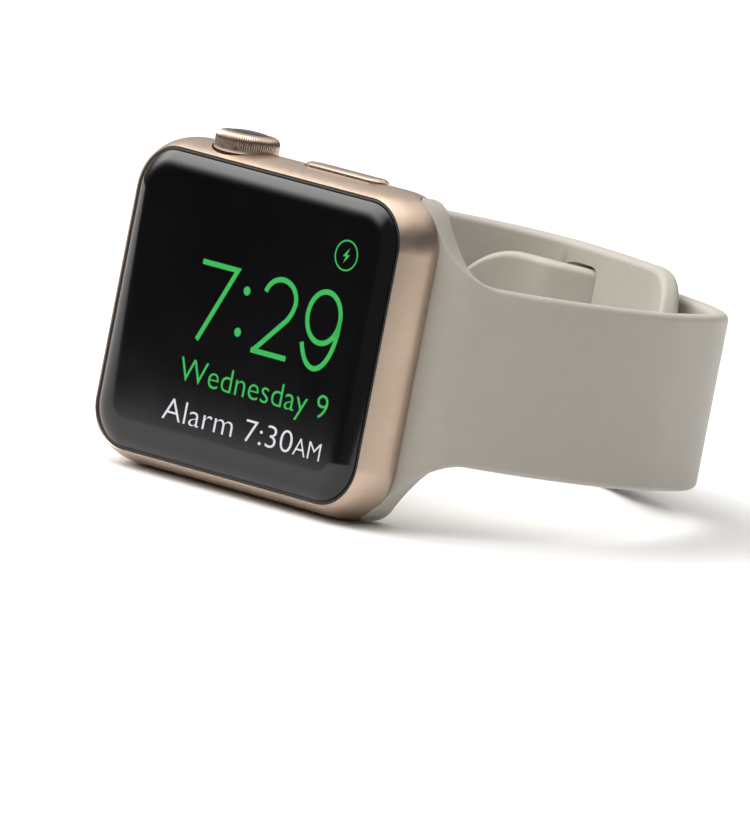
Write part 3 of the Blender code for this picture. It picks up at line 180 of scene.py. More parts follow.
# Sizes that only the visible surfaces have
COVER_INSET = 0.8 * MM
CAVITY_INSET_X = 3.9 * MM
CAVITY_INSET_W = 1.3 * MM
CHANNEL_GAP = 0.8 * FIT_GAP
BUTTON_GAP = 0.13 * MM
BUTTON_BEVEL = 0.42 * MM
BUTTON_POCKET = 0.35 * MM
SOUND_SLOT_SHIFT = 3.0 * MM
SOUND_SLOT_HALF = 2.4 * MM
SOUND_HOLE_RADIUS = 0.45 * MM
SEAL_BED = 1.3 * MM
SEAL_FRONT = 0.12 * MM
SEAL_CREST = 0.04 * MM
CROWN_FOOT_ROUND = 0.35 * MM
CROWN_SHOULDER = 0.95 * MM
CROWN_END_INSET = 0.24 * MM
CROWN_CAP_GAP = 0.1 * MM
CROWN_RECESS = 0.3 * MM
FOOT_RIDGE_SHARE = 0.3
STRAP_WIDTH = 24.8 * MM
TAIL_WIDTH = 19.6 * MM
INSERT_CORNER = 0.3 * MM
SHORT_EDGE = 0.12 * MM
LONG_EDGE = 0.16 * MM
INK_LIFT = 0.004 * MM
INK_THICKNESS = 0.018 * MM
CRYSTAL_FLAT = 2.2 * MM
CRYSTAL_WALL = 1.0 * MM
WINDOW_BEVEL = 0.06 * MM

# How finely the visible surfaces are drawn, with their angles in degrees
POINTS_PER_TOOTH = 6
SMOOTH_BELOW = 32.0
ROUND_ABOVE = 38.0
CORNER_STEPS = 18
SIDE_STEPS = 30
LOOP_STEPS = 40
STATION_SPACING = 0.7 * MM
SECTION_STEPS = 6
TIP_STEPS = 22
TIP_END_SHARE = 0.0006
STRETCH_STEPS = 24
CURVE_ALLOWANCE = 0.08 * MM

# The studio's fixed places, and its fixed angles in radians
FLOOR_RADIUS = 0.9
STRIP_PLACE = Vector((0.10, 0.26, 0.30))
STRIP_SIZE = (0.4, 0.12)
FILL_EDGE = 1.15
FILL_CORE = 0.2
TOP_SIDE = Vector((0.14, -0.04, 0.99))
TOP_EDGE = 0.8
TOP_CORE = 0.12
LIGHT_COLOUR = (1.0, 0.985, 0.965, 1.0)
SENSOR_WIDTH = 36.0


# Settings


def length_of(name, description, millimetres):
    return FloatProperty(name=name, description=description, default=millimetres * MM, unit="LENGTH")


def colour_of(name, description, colour):
    return FloatVectorProperty(
        name=name, description=description, default=colour, subtype="COLOR", size=3, min=0, max=1
    )


def side_of(name, description, side):
    return FloatVectorProperty(
        name=name, description=description, default=side, subtype="DIRECTION", size=3
    )


def angle_of(name, description, degrees):
    return FloatProperty(name=name, description=description, default=math.radians(degrees), subtype="ANGLE")


def share_of(name, description, share):
    return FloatProperty(name=name, description=description, default=share, min=0, max=1, subtype="FACTOR")


def number_of(name, description, number):
    return FloatProperty(name=name, description=description, default=number, min=0)


class CaseSettings(bpy.types.PropertyGroup):
    colour: colour_of("Aluminium", "Colour of the anodised case", (0.50, 0.388, 0.305))
    roughness: share_of("Roughness", "How matte the blasted surface is", 0.34)
    edge: length_of("Edge radius", "Rounding of machined edges", 0.07)


class GlassSettings(bpy.types.PropertyGroup):
    curve: length_of("Curved edge", "Width of the curved edge of the glass", 3.3)
    roughness: share_of("Roughness", "Polish of the glass", 0.06)
    reflection: share_of("Reflection", "Strength of what the glass mirrors", 0.42)


class DisplaySettings(bpy.types.PropertyGroup):
    time_colour: colour_of("Time", "Colour of the time and the day", (0.024, 0.275, 0.056))
    note_colour: colour_of("Alarm line", "Colour of the alarm line", (0.42, 0.42, 0.455))
    glow: number_of("Glow", "Strength of the lit strokes", 1.0)
    stroke: length_of("Stroke", "Width of the strokes of the time", 0.58)


class CrownSettings(bpy.types.PropertyGroup):
    teeth: IntProperty(name="Teeth", description="Fine ridges round the crown", default=84, min=12, max=160)
    depth: length_of("Ridge depth", "Depth of a ridge", 0.1)


class BandSettings(bpy.types.PropertyGroup):
    colour: colour_of("Elastomer", "Colour of the band", (0.40, 0.374, 0.326))
    roughness: share_of("Roughness", "How matte the band is", 0.5)
    edge: length_of("Edge rounding", "Radius of the band's long edges", 0.85)


class StudioSettings(bpy.types.PropertyGroup):
    azimuth: angle_of("Azimuth", "Camera direction round the watch", 42.93)
    elevation: angle_of("Elevation", "Camera height over the horizon", 9.37)
    roll: angle_of("Roll", "Camera turned about its line of sight", 6.81)
    lens: number_of("Lens", "Focal length in millimetres", 900.0)
    view_height: length_of("View height", "Height of the view at the glass", 88.2)
    aim_right: length_of("Aim right", "Right of the glass's middle", 13.904)
    aim_down: length_of("Aim down", "Below the glass's middle", 8.917)
    key: number_of("Key light", "Strength of the large soft light", 5.2)
    key_side: side_of("Key side", "Where the large soft light is", (-0.62, -0.38, 0.68))
    key_core: angle_of("Key core", "Half angle of the soft light's core", 6)
    key_edge: angle_of("Key edge", "Half angle at which the soft light has faded out", 42)
    low: number_of("Ambient", "Strength of the even light elsewhere", 0.14)
    fill: number_of("Fill", "Strength of the wide fill from the upper left, behind", 0.62)
    fill_side: side_of("Fill side", "Where the fill comes from", (-0.55, 0.3, 0.78))
    strip: number_of("Rear strip", "Power of the strip light behind, in watts", 0.12)
    top: number_of("Top light", "Strength of the light straight above", 1.75)
    card_core: angle_of("Card core", "Half angle of the dark card's core", 8)
    card_edge: angle_of("Card edge", "Half angle at which the dark card has faded out", 36)


class WatchLook(bpy.types.PropertyGroup):
    case: PointerProperty(type=CaseSettings)
    glass: PointerProperty(type=GlassSettings)
    display: PointerProperty(type=DisplaySettings)
    crown: PointerProperty(type=CrownSettings)
    band: PointerProperty(type=BandSettings)
    studio: PointerProperty(type=StudioSettings)


def settings():
    return bpy.context.scene.watch_look


# Materials


class Finish:
    """A Principled material being put together, with its textures' sizes in millimetres."""

    def __init__(self, name, colour, roughness, metallic=0.0):
        self.material = bpy.data.materials.new(name)
        self.material.use_nodes = True
        self.tree = self.material.node_tree
        self.shader = self.tree.nodes["Principled BSDF"]
        self.place = self.tree.nodes.new("ShaderNodeTexCoord").outputs["Object"]
        self.set("Base Color", (*colour, 1.0))
        self.set("Roughness", roughness)
        self.set("Metallic", metallic)

    def set(self, socket, value):
        self.shader.inputs[socket].default_value = value

    def texture(self, kind, size):
        node = self.tree.nodes.new(kind)
        node.inputs["Scale"].default_value = 1 / (size * MM)
        self.tree.links.new(self.place, node.inputs["Vector"])
        return node

    def noise(self, size, detail=3.0, roughness=0.5):
        """Noise whose features are about that size."""
        node = self.texture("ShaderNodeTexNoise", size)
        node.inputs["Detail"].default_value = detail
        node.inputs["Roughness"].default_value = roughness
        return node.outputs["Fac"]

    def cells(self, size):
        """How far the nearest border is between cells of about that size."""
        node = self.texture("ShaderNodeTexVoronoi", size)
        node.feature = "DISTANCE_TO_EDGE"
        return node.outputs["Distance"]

    def ramp(self, source, low, high, dark, light, socket):
        """Drives a socket from dark to light as source goes from low to high."""
        node = self.tree.nodes.new("ShaderNodeValToRGB")
        first, last = node.color_ramp.elements
        first.position, last.position = low, high
        first.color, last.color = (*dark, 1.0), (*light, 1.0)
        self.tree.links.new(source, node.inputs["Fac"])
        self.tree.links.new(node.outputs["Color"], self.shader.inputs[socket])

    def vary_colour(self, source, dark, light, low=0.3, high=0.7):
        self.ramp(source, low, high, dark, light, "Base Color")

    def vary_roughness(self, source, smooth, rough, low=0.3, high=0.7):
        self.ramp(source, low, high, [smooth] * 3, [rough] * 3, "Roughness")

    def bump(self, source, height):
        """Adds relief of that height, on top of what is there."""
        node = self.tree.nodes.new("ShaderNodeBump")
        node.inputs["Distance"].default_value = height * MM
        node.inputs["Strength"].default_value = 1.0
        self.tree.links.new(source, node.inputs["Height"])
        held = self.shader.inputs["Normal"]
        if held.is_linked:
            self.tree.links.new(held.links[0].from_socket, node.inputs["Normal"])
        self.tree.links.new(node.outputs["Normal"], held)


FINISHES = {}


def finish_of(maker):
    """The material that maker makes, made once and named after it."""
    if maker not in FINISHES:
        FINISHES[maker] = maker(maker.__name__).material
    return FINISHES[maker]


def shades(colour, *factors):
    return [tuple(min(1.0, part * factor) for part in colour) for factor in factors]


def anodised_gold(name):
    look = settings().case
    made = Finish(name, look.colour, look.roughness, 1.0)
    made.vary_colour(made.noise(9, 4), *shades(look.colour, 0.95, 1.04))
    made.vary_roughness(made.noise(0.9, 5), look.roughness * 0.9, look.roughness * 1.12)
    made.bump(made.noise(0.09, 2), 0.0012)
    return made


def polished_gold(name):
    look = settings().case
    made = Finish(name, look.colour, 0.2, 1.0)
    made.vary_colour(made.noise(3), *shades(look.colour, 0.93, 1.06))
    made.vary_roughness(made.noise(0.4, 4), 0.16, 0.27)
    return made


def band_elastomer(name):
    look = settings().band
    made = Finish(name, look.colour, look.roughness)
    made.vary_colour(made.noise(2.2, 6, 0.62), *shades(look.colour, 0.982, 1.014), 0.32, 0.68)
    made.vary_roughness(made.noise(0.5, 5), look.roughness * 0.9, look.roughness * 1.12)
    made.bump(made.noise(0.11, 3), 0.003)
    made.bump(made.noise(1.6, 2), 0.002)
    made.set("Specular IOR Level", 0.42)
    made.set("Sheen Weight", 0.12)
    made.set("Sheen Roughness", 0.45)
    made.set("Subsurface Weight", 0.06)
    made.set("Subsurface Radius", (1.0, 0.8, 0.6))
    made.set("Subsurface Scale", 0.4 * MM)
    return made


def black_glass(name):
    look = settings().glass
    made = Finish(name, (0.0035, 0.0035, 0.004), look.roughness)
    made.vary_colour(made.noise(12), (0.003, 0.003, 0.0035), (0.0042, 0.0042, 0.005), 0.35, 0.65)
    made.vary_roughness(made.noise(5, 3), look.roughness * 0.9, look.roughness * 1.15, 0.35, 0.75)
    made.set("IOR", 1.52)
    made.set("Specular IOR Level", look.reflection)
    return made


def seal_rubber(name):
    made = Finish(name, (0.012, 0.011, 0.011), 0.6)
    made.vary_colour(made.noise(0.8, 4), (0.008, 0.008, 0.008), (0.018, 0.017, 0.016))
    made.bump(made.noise(0.12), 0.004)
    return made


def crown_cap_black(name):
    made = Finish(name, (0.006, 0.006, 0.006), 0.18)
    made.set("Specular IOR Level", 0.2)
    made.vary_roughness(made.noise(0.5, 4), 0.13, 0.26)
    made.vary_colour(made.noise(1.2), (0.004, 0.004, 0.004), (0.01, 0.01, 0.01))
    return made


def back_ceramic(name):
    made = Finish(name, (0.018, 0.018, 0.02), 0.1)
    made.vary_colour(made.noise(4, 5), (0.013, 0.013, 0.015), (0.024, 0.024, 0.027))
    made.vary_roughness(made.noise(2, 6, 0.6), 0.06, 0.15, 0.35)
    return made


def sensor_lens(name):
    made = Finish(name, (0.05, 0.012, 0.016), 0.05)
    made.vary_colour(made.noise(0.9, 3), (0.03, 0.008, 0.012), (0.09, 0.02, 0.024), 0.35, 0.65)
    made.set("Coat Weight", 1.0)
    return made


def brushed_steel(name):
    made = Finish(name, (0.56, 0.56, 0.57), 0.3, 1.0)
    made.vary_roughness(made.noise(0.25, 5), 0.22, 0.4)
    made.bump(made.noise(0.08), 0.002)
    return made


def dark_resin(name):
    made = Finish(name, (0.03, 0.03, 0.033), 0.5)
    made.vary_colour(made.noise(1.5, 4), (0.022, 0.022, 0.025), (0.04, 0.04, 0.043))
    made.bump(made.noise(0.15), 0.006)
    return made


def circuit_board(name):
    made = Finish(name, (0.01, 0.08, 0.045), 0.42)
    made.vary_colour(made.cells(1.4), (0.05, 0.16, 0.08), (0.008, 0.06, 0.035), 0.02, 0.07)
    made.bump(made.cells(1.4), 0.02)
    return made


def battery_foil(name):
    made = Finish(name, (0.07, 0.07, 0.075), 0.36, 0.4)
    made.vary_colour(made.noise(2.5, 5), (0.05, 0.05, 0.055), (0.09, 0.09, 0.095))
    made.bump(made.noise(1.1, 4), 0.03)
    return made


def copper_layer(name):
    made = Finish(name, (0.55, 0.25, 0.1), 0.36, 1.0)
    made.vary_colour(made.noise(0.7, 4), (0.45, 0.2, 0.08), (0.62, 0.3, 0.12))
    made.bump(made.noise(0.2), 0.01)
    return made


def flex_film(name):
    made = Finish(name, (0.5, 0.22, 0.03), 0.45)
    made.vary_colour(made.noise(0.8, 4), (0.42, 0.17, 0.02), (0.56, 0.26, 0.05), 0.4, 0.6)
    return made


def lit_strokes(name, colour):
    plain, dark, light = shades(colour, 0.6, 0.5, 0.7)
    made = Finish(name, plain, 0.5)
    made.vary_colour(made.noise(0.2, 2), dark, light)
    made.set("Emission Color", (*colour, 1.0))
    made.set("Emission Strength", settings().display.glow)
    made.set("Specular IOR Level", 0.1)
    return made


def time_glow(name):
    return lit_strokes(name, settings().display.time_colour)


def note_glow(name):
    return lit_strokes(name, settings().display.note_colour)


# Meshes


def added(name, data):
    """A new object that holds data, in the scene."""
    made = bpy.data.objects.new(name, data)
    bpy.context.scene.collection.objects.link(made)
    return made


def meshed(name, shape):
    """The mesh that a bmesh has been made into, and the bmesh let go."""
    mesh = bpy.data.meshes.new(name)
    shape.to_mesh(mesh)
    shape.free()
    return mesh


def lofted(name, rings, closed=False, sharp=SMOOTH_BELOW):
    """One closed surface through rings of points in the watch's axes."""
    shape = bmesh.new()
    rows = [[shape.verts.new(WATCH @ point) for point in ring] for ring in rings]
    pairs = list(zip(rows, rows[1:]))
    if closed:
        pairs.append((rows[-1], rows[0]))
    else:
        shape.faces.new(rows[0])
        shape.faces.new(list(reversed(rows[-1])))
    for near, far in pairs:
        for i in range(len(near)):
            j = (i + 1) % len(near)
            shape.faces.new((near[j], near[i], far[i], far[j]))
    bmesh.ops.recalc_face_normals(shape, faces=shape.faces)
    mesh = meshed(name, shape)
    smooth_shaded(mesh, sharp)
    return added(name, mesh)


def smooth_shaded(mesh, sharp):
    mesh.shade_smooth()
    mesh.set_sharp_from_angle(angle=math.radians(sharp))


def carved(part, cutters):
    """Takes the cutters away from part for good, and removes them."""
    for cutter in cutters:
        away = part.modifiers.new("cut", "BOOLEAN")
        away.operation = "DIFFERENCE"
        away.solver = "EXACT"
        away.object = cutter
    bpy.context.view_layer.update()
    evaluated = part.evaluated_get(bpy.context.evaluated_depsgraph_get())
    mesh = bpy.data.meshes.new_from_object(evaluated)
    part.modifiers.clear()
    part.data = mesh
    for cutter in cutters:
        bpy.data.objects.remove(cutter)
    smooth_shaded(mesh, SMOOTH_BELOW)
    return part


def soften(part, width, segments=2):
    """Rounds machined or moulded edges."""
    bevel = part.modifiers.new("edge_rounding", "BEVEL")
    bevel.width = width
    bevel.segments = segments
    bevel.limit_method = "ANGLE"
    bevel.angle_limit = math.radians(ROUND_ABOVE)
    bevel.harden_normals = False
    bevel.use_clamp_overlap = True
    return part


def dress(part, finish, body, slot, *stands_for):
    """Gives a piece its material and its body, and hides the CAD nodes that it stands for; its slot is not used.
    """
    part.data.materials.clear()
    part.data.materials.append(finish)
    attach(part, body)
    if stands_for:
        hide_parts(*stands_for)
    return part


def rounded_outline(half_a, half_b, radius, steps=CORNER_STEPS):
    points = []
    for corner, (side_a, side_b) in enumerate(((1, 1), (-1, 1), (-1, -1), (1, -1))):
        for step in range(steps + 1):
            angle = math.pi / 2 * (corner + step / steps)
            a = side_a * (half_a - radius) + radius * math.cos(angle)
            b = side_b * (half_b - radius) + radius * math.sin(angle)
            points.append((a, b))
    return points


def circle_outline(radius, steps):
    turn = 2 * math.pi / steps
    return [
        (radius * math.cos(turn * (i + 0.5)), radius * math.sin(turn * (i + 0.5)))
        for i in range(steps)
    ]


def quarter(steps, first=0):
    """The angles of a quarter turn in even steps, from that one on."""
    return [math.pi / 2 * step / steps for step in range(first, steps + 1)]


def shifted(outline, a=0.0, b=0.0):
    return [(a + first, b + second) for first, second in outline]


def swapped(outline):
    return [(b, a) for a, b in outline]


def at_depth(outline, d, x=0.0, w=0.0):
    return [Vector((x + a, d, w + b)) for a, b in outline]


def across(outline, w):
    return [Vector((a, b, w)) for a, b in outline]


def case_ring(corner, d):
    return at_depth(rounded_outline(CORE_X + corner, CORE_W + corner, corner), d)


def stadium(half_length, radius, steps=10):
    return rounded_outline(half_length, radius, radius * 0.999, steps)


def pin(name, outline, start, end, x=0.0, w=0.0):
    """A straight solid along the depth, from start to end."""
    return lofted(name, [at_depth(outline, start, x, w), at_depth(outline, end, x, w)])


def prism(name, outline, low, high):
    """A straight solid along the crown's axis, from low to high."""
    return lofted(name, [across(outline, low), across(outline, high)])


def turned_about_depth(name, profile, x=0.0, w=0.0, closed=False, steps=96):
    rings = [at_depth(circle_outline(radius, steps), d, x, w) for radius, d in profile]
    return lofted(name, rings, closed)


def turned_about_crown_axis(name, profile, x, d, steps=96):
    return lofted(name, [across(shifted(circle_outline(radius, steps), x, d), w) for radius, w in profile])


def smooth(value, start, end):
    share = min(max((value - start) / (end - start), 0.0), 1.0)
    return share * share * (3 - 2 * share)


# Case


def case_corner_at(d):
    height = math.sqrt(1 - ((d - CASE_WIDEST) / SIDE_CURVE_REACH) ** 2)
    lip_height = math.sqrt(1 - (CASE_WIDEST / SIDE_CURVE_REACH) ** 2)
    return LIP_CORNER + CASE_BULGE * (height - lip_height) / (1 - lip_height)


def case_shell():
    side_end = CASE_DEPTH - BACK_EDGE_ROUND
    rings = []
    for level in range(SIDE_STEPS + 1):
        d = side_end * level / SIDE_STEPS
        rings.append(case_ring(case_corner_at(d), d))
    end_corner = case_corner_at(side_end)
    for angle in quarter(6, 1):
        corner = end_corner - BACK_EDGE_ROUND * (1 - math.cos(angle))
        rings.append(case_ring(corner, side_end + BACK_EDGE_ROUND * math.sin(angle)))
    steps = 4 * (CORNER_STEPS + 1)
    opening = circle_outline(COVER.size.x / 2 - COVER_INSET, steps)
    half_x = CORE_X + LIP_CORNER - CAVITY_INSET_X
    half_w = CORE_W + LIP_CORNER - CAVITY_INSET_W
    cavity = rounded_outline(half_x, half_w, half_w - CORE_W)
    rings.append(at_depth(opening, CASE_DEPTH))
    rings.append(at_depth(opening, CASE_DEPTH - BACK_WALL))
    rings.append(at_depth(cavity, CASE_DEPTH - BACK_WALL))
    rings.append(at_depth(cavity, SEAT_DEPTH))
    rings.append(case_ring(SEAT_CORNER, SEAT_DEPTH))
    rings.append(case_ring(SEAT_CORNER, FIT_GAP))
    return lofted("case_shell", rings, closed=True)


def channel_cutter(side, loop):
    """The channel that a lug slides in, along the loop and a little past the case's side."""
    stations = [0.0, LUG_END_ROUND * 0.5, LUG_END_ROUND]
    stations += [LUG_FLUSH * share for share in (0.75, 0.82, 0.9)]
    stations += [LUG_FLUSH + (LUG_DEPTH + MM - LUG_FLUSH) * i / 8 for i in range(9)]
    front = []
    back = []
    for from_lug in stations:
        half = root_thickness(from_lug) / 2 + CHANNEL_GAP
        point, outward = loop.at(from_lug if side < 0 else loop.length - from_lug)
        front.append(point + outward * half)
        back.append(point - outward * half)
    floor = Vector((side * FIT_GAP, 0))
    front[0] = front[0] - floor
    back[0] = back[0] - floor
    return prism("channel", front + back[::-1], -CASE.size.z, CASE.size.z)


def latch_groove(side):
    latch = Extent("lug_latch_" + side_name(side))
    half = latch.size.x / 2 + RUNNING_GAP
    end = latch.high.y + FIT_GAP
    outline = [(-half, LUG_LEVEL), (half, LUG_LEVEL), (half, end), (-half, end)]
    return prism("groove", shifted(outline, latch.middle.x), -CASE.size.z, CASE.size.z)


def side_name(side):
    return "6" if side > 0 else "12"


def release_hole(side):
    button = Extent("release_button_" + side_name(side))
    outline = swapped(stadium(button.size.z / 2 + FIT_GAP, button.size.x / 2 + FIT_GAP))
    return pin("hole", outline, LUG_LEVEL, CASE_DEPTH + MM, button.middle.x)


def crown_scoop():
    """A shallow dish under the crown, rounded where it meets the side."""
    floor = CROWN.low.z - CROWN_ROOM
    radius = CROWN.size.x / 2
    profile = [(radius * 0.3, floor), (radius * 0.93, floor), (radius + 0.08 * MM, floor + 0.2 * MM)]
    profile += [(radius + 0.16 * MM, floor + 0.5 * MM), (radius + 0.22 * MM, floor + 2.6 * MM)]
    return turned_about_crown_axis("scoop", profile, CROWN.middle.x, CROWN.middle.y)


def side_holes():
    """The side button's pocket, and the bores of the crown's bush and the stem's seal."""
    outline = shifted(button_outline(BUTTON_GAP), BUTTON.middle.x, BUTTON.middle.y)
    made = [prism("pocket", outline, BUTTON.low.z - BUTTON_POCKET, CASE.high.z + MM)]
    for node, end in (("crown_bush", CASE.high.z + MM), ("stem_seal", BUTTON.low.z)):
        piece = Extent(node)
        radius = piece.size.x / 2 + FIT_GAP
        profile = [(radius, piece.low.z - MM), (radius, end)]
        made.append(turned_about_crown_axis("bore", profile, piece.middle.x, piece.middle.y, steps=48))
    return made


def sound_holes():
    """Two slots over the speaker's mesh and a round hole over the microphone."""
    mesh = Extent("speaker_mesh")
    outside = CASE.low.z - MM
    inside = mesh.low.z
    made = []
    for shift in (-SOUND_SLOT_SHIFT, SOUND_SLOT_SHIFT):
        outline = shifted(stadium(SOUND_SLOT_HALF, SOUND_HOLE_RADIUS, 8), mesh.middle.x + shift, CASE_WIDEST)
        made.append(prism("slot", outline, outside, inside))
    profile = [(SOUND_HOLE_RADIUS, outside), (SOUND_HOLE_RADIUS, inside)]
    microphone = Extent("microphone").middle.x
    made.append(turned_about_crown_axis("hole", profile, microphone, CASE_WIDEST, steps=32))
    return made


def button_outline(grow=0.0):
    return stadium(BUTTON.size.x / 2 + grow, BUTTON.size.y / 2 + grow, 12)


# The band's loop


def spline(points, steps):
    first = points[0] * 2 - points[1]
    last = points[-1] * 2 - points[-2]
    held = [first, *points, last]
    samples = []
    for i in range(1, len(held) - 2):
        before, start, end, after = held[i - 1 : i + 3]
        for step in range(steps):
            t = step / steps
            pull = (end - before) * t + (before * 2 - start * 5 + end * 4 - after) * t**2
            pull += (start * 3 - before - end * 3 + after) * t**3
            samples.append(start + pull / 2)
    samples.append(points[-1])
    return samples


class BandLoop:
    """The loop's middle line, measured along its length from the twelve o'clock lug."""

    def __init__(self):
        mouth_x = LUG_END_X + LUG_FLUSH
        points = [Vector((-LUG_END_X, LUG_LEVEL)), Vector((-mouth_x, LUG_LEVEL))]
        points += [Vector((x, d)) * MM for x, d in LOOP_POINTS]
        points += [Vector((mouth_x, LUG_LEVEL)), Vector((LUG_END_X, LUG_LEVEL))]
        self.samples = spline(points, LOOP_STEPS)
        self.reach = [0.0]
        for a, b in zip(self.samples, self.samples[1:]):
            self.reach.append(self.reach[-1] + (b - a).length)
        self.length = self.reach[-1]

    def at(self, along):
        along = min(max(along, 0.0), self.length)
        low, high = 0, len(self.reach) - 1
        while high - low > 1:
            middle = (low + high) // 2
            if self.reach[middle] <= along:
                low = middle
            else:
                high = middle
        a, b = self.samples[low], self.samples[high]
        share = (along - self.reach[low]) / (self.reach[high] - self.reach[low])
        before = self.samples[max(low - 1, 0)]
        after = self.samples[min(high + 1, len(self.samples) - 1)]
        direction = ((b - before) * (1 - share) + (after - a) * share).normalized()
        return a + (b - a) * share, Vector((-direction.y, direction.x))


def corner_reach(x):
    rest = max(CASE_CORNER**2 - (x - CORE_X) ** 2, 0.0)
    return CORE_W + math.sqrt(rest)


def root_thickness(from_lug):
    if from_lug < LUG_END_ROUND:
        return LUG_HEIGHT - 2 * (LUG_END_ROUND - from_lug)
    in_channel = smooth(from_lug, LUG_FLUSH, LUG_FLUSH * 0.75)
    past_mouth = smooth(from_lug, LUG_FLUSH + 2 * MM, LUG_FLUSH + FLARE_LENGTH)
    plain = MOUTH_HEIGHT + (STRAP_THICKNESS - MOUTH_HEIGHT) * past_mouth
    return plain + (LUG_HEIGHT - MOUTH_HEIGHT) * in_channel


def root_half_width(from_lug, half_width):
    if from_lug <= LUG_FLUSH:
        return corner_reach(LUG_END_X + from_lug)
    share = min((from_lug - LUG_FLUSH) / FLARE_LENGTH, 1.0)
    flush = corner_reach(LUG_END_X + LUG_FLUSH)
    return half_width + (flush - half_width) * (1 - share) ** 2


class Strap:
    """One strap of the band, drawn finely along the loop."""

    def __init__(self, loop, lug_along, tip_along, width, shift):
        self.loop = loop
        self.lug_along = lug_along
        self.direction = 1 if tip_along > lug_along else -1
        self.length = abs(tip_along - lug_along)
        self.half_width = width / 2
        self.shift = shift

    def stations(self):
        root = [0.0] + [LUG_END_ROUND * (1 - math.cos(angle)) for angle in quarter(4, 1)]
        tip_start = self.length - self.half_width
        start = LUG_END_ROUND
        count = round((tip_start - start) / STATION_SPACING)
        middle = [start + (tip_start - start) * i / count for i in range(1, count + 1)]
        shares = [1 - math.sin(angle) for angle in quarter(TIP_STEPS, 1)[:-1]] + [TIP_END_SHARE]
        tip = [self.length - self.half_width * share for share in shares]
        return root + middle + tip

    def centre(self, from_lug):
        along = self.lug_along + self.direction * from_lug
        point, outward = self.loop.at(along)
        return point + outward * self.shift(along), outward

    def half_width_at(self, from_lug):
        into_tip = from_lug - (self.length - self.half_width)
        if into_tip > 0:
            return math.sqrt(max(self.half_width**2 - into_tip**2, 0.0))
        return root_half_width(from_lug, self.half_width)

    def ring(self, from_lug, grow=0.0):
        point, outward = self.centre(from_lug)
        half_thickness = (root_thickness(from_lug) - CURVE_ALLOWANCE) / 2 + grow
        middle = self.half_width_at(from_lug) + grow
        plain = settings().band.edge
        past_root = smooth(from_lug, LUG_FLUSH, LUG_FLUSH + 1.6 * FLARE_LENGTH)
        edge = ROOT_EDGE + (plain - ROOT_EDGE) * past_root
        rounding = min(edge, half_thickness * 0.98, middle * 0.98)
        ring = []
        for a, b in rounded_outline(middle, half_thickness, rounding, SECTION_STEPS):
            place = point + outward * b
            ring.append(Vector((place.x, place.y, a)))
        return ring

    def solid(self, name):
        return lofted(name, [self.ring(s) for s in self.stations()])

    def stretch(self, name, start, end, grow):
        places = [start + (end - start) * i / STRETCH_STEPS for i in range(STRETCH_STEPS + 1)]
        return lofted(name, [self.ring(place, grow) for place in places])


class Band:
    """Places along the loop that both straps share."""

    def __init__(self):
        self.loop = BandLoop()
        self.tip = self.loop.length - TIP_FROM_LUG
        self.stud = self.tip - STUD_FROM_TIP
        self.slot = self.stud - SLOT_FROM_STUD
        self.tail = self.slot - CROSSING_LENGTH / 2 - TAIL_LENGTH
        self.short = Strap(self.loop, 0.0, self.tip, STRAP_WIDTH, self.short_shift)
        self.long = Strap(self.loop, self.loop.length, self.tail, TAIL_WIDTH, self.long_shift)

    def short_shift(self, along):
        return -TIP_STAND_OFF * smooth(along, self.stud, self.tip)

    def long_shift(self, along):
        on_top = LAYER_STEP * smooth(along, self.tip + LIFT_LENGTH, self.tip)
        half = CROSSING_LENGTH / 2
        through = 2 * LAYER_STEP * smooth(along, self.slot + half, self.slot - half)
        return on_top - through


def turned_about_outward(name, profile, point, outward, steps=48):
    along = Vector((outward.y, -outward.x))
    rings = []
    for radius, height in profile:
        ring = []
        for a, b in circle_outline(radius, steps):
            place = point + outward * height + along * a
            ring.append(Vector((place.x, place.y, b)))
        rings.append(ring)
    return lofted(name, rings)


def lug_pockets(side):
    latch = Extent("lug_latch_" + side_name(side))
    insert = Extent("lug_insert_" + side_name(side))
    outline = swapped(stadium(latch.size.z / 2 + FIT_GAP, latch.size.x / 2 + FIT_GAP))
    pocket = pin("pocket", outline, latch.low.y - MM, CASE_DEPTH, latch.middle.x)
    outline = rounded_outline(insert.size.x / 2 + FIT_GAP, insert.size.z / 2 + FIT_GAP, INSERT_CORNER, 4)
    bed = pin("bed", outline, insert.low.y - MM, insert.high.y + FIT_GAP, insert.middle.x)
    return [pocket, bed]


# Display strokes


def ribbon(name, points, width, face):
    """A flat stroke of even width through points in x and w, lying on the glass at depth face."""
    half = width / 2
    rings = []
    for i, point in enumerate(points):
        before = points[max(i - 1, 0)]
        after = points[min(i + 1, len(points) - 1)]
        ahead = (after - point).normalized() if i < len(points) - 1 else (point - before).normalized()
        behind = (point - before).normalized() if i > 0 else ahead
        joint = (ahead + behind).normalized()
        across_joint = Vector((-joint.y, joint.x)) * half / max(joint.dot(ahead), 0.35)
        left, right = point + across_joint, point - across_joint
        rings.append([
            Vector((left.x, face, left.y)),
            Vector((right.x, face, right.y)),
            Vector((right.x, face - INK_THICKNESS, right.y)),
            Vector((left.x, face - INK_THICKNESS, left.y)),
        ])
    return lofted(name, rings)


def arc(x, w, radius_x, radius_w, start, end, steps):
    """Points of an ellipse's arc between two angles in degrees."""
    points = []
    for i in range(steps + 1):
        angle = math.radians(start + (end - start) * i / steps)
        place = Vector((x + radius_x * math.cos(angle), w + radius_w * math.sin(angle)))
        points.append(place * MM + DISPLAY_SHIFT)
    return points


def line(*points):
    return [Vector(point) * MM + DISPLAY_SHIFT for point in points]


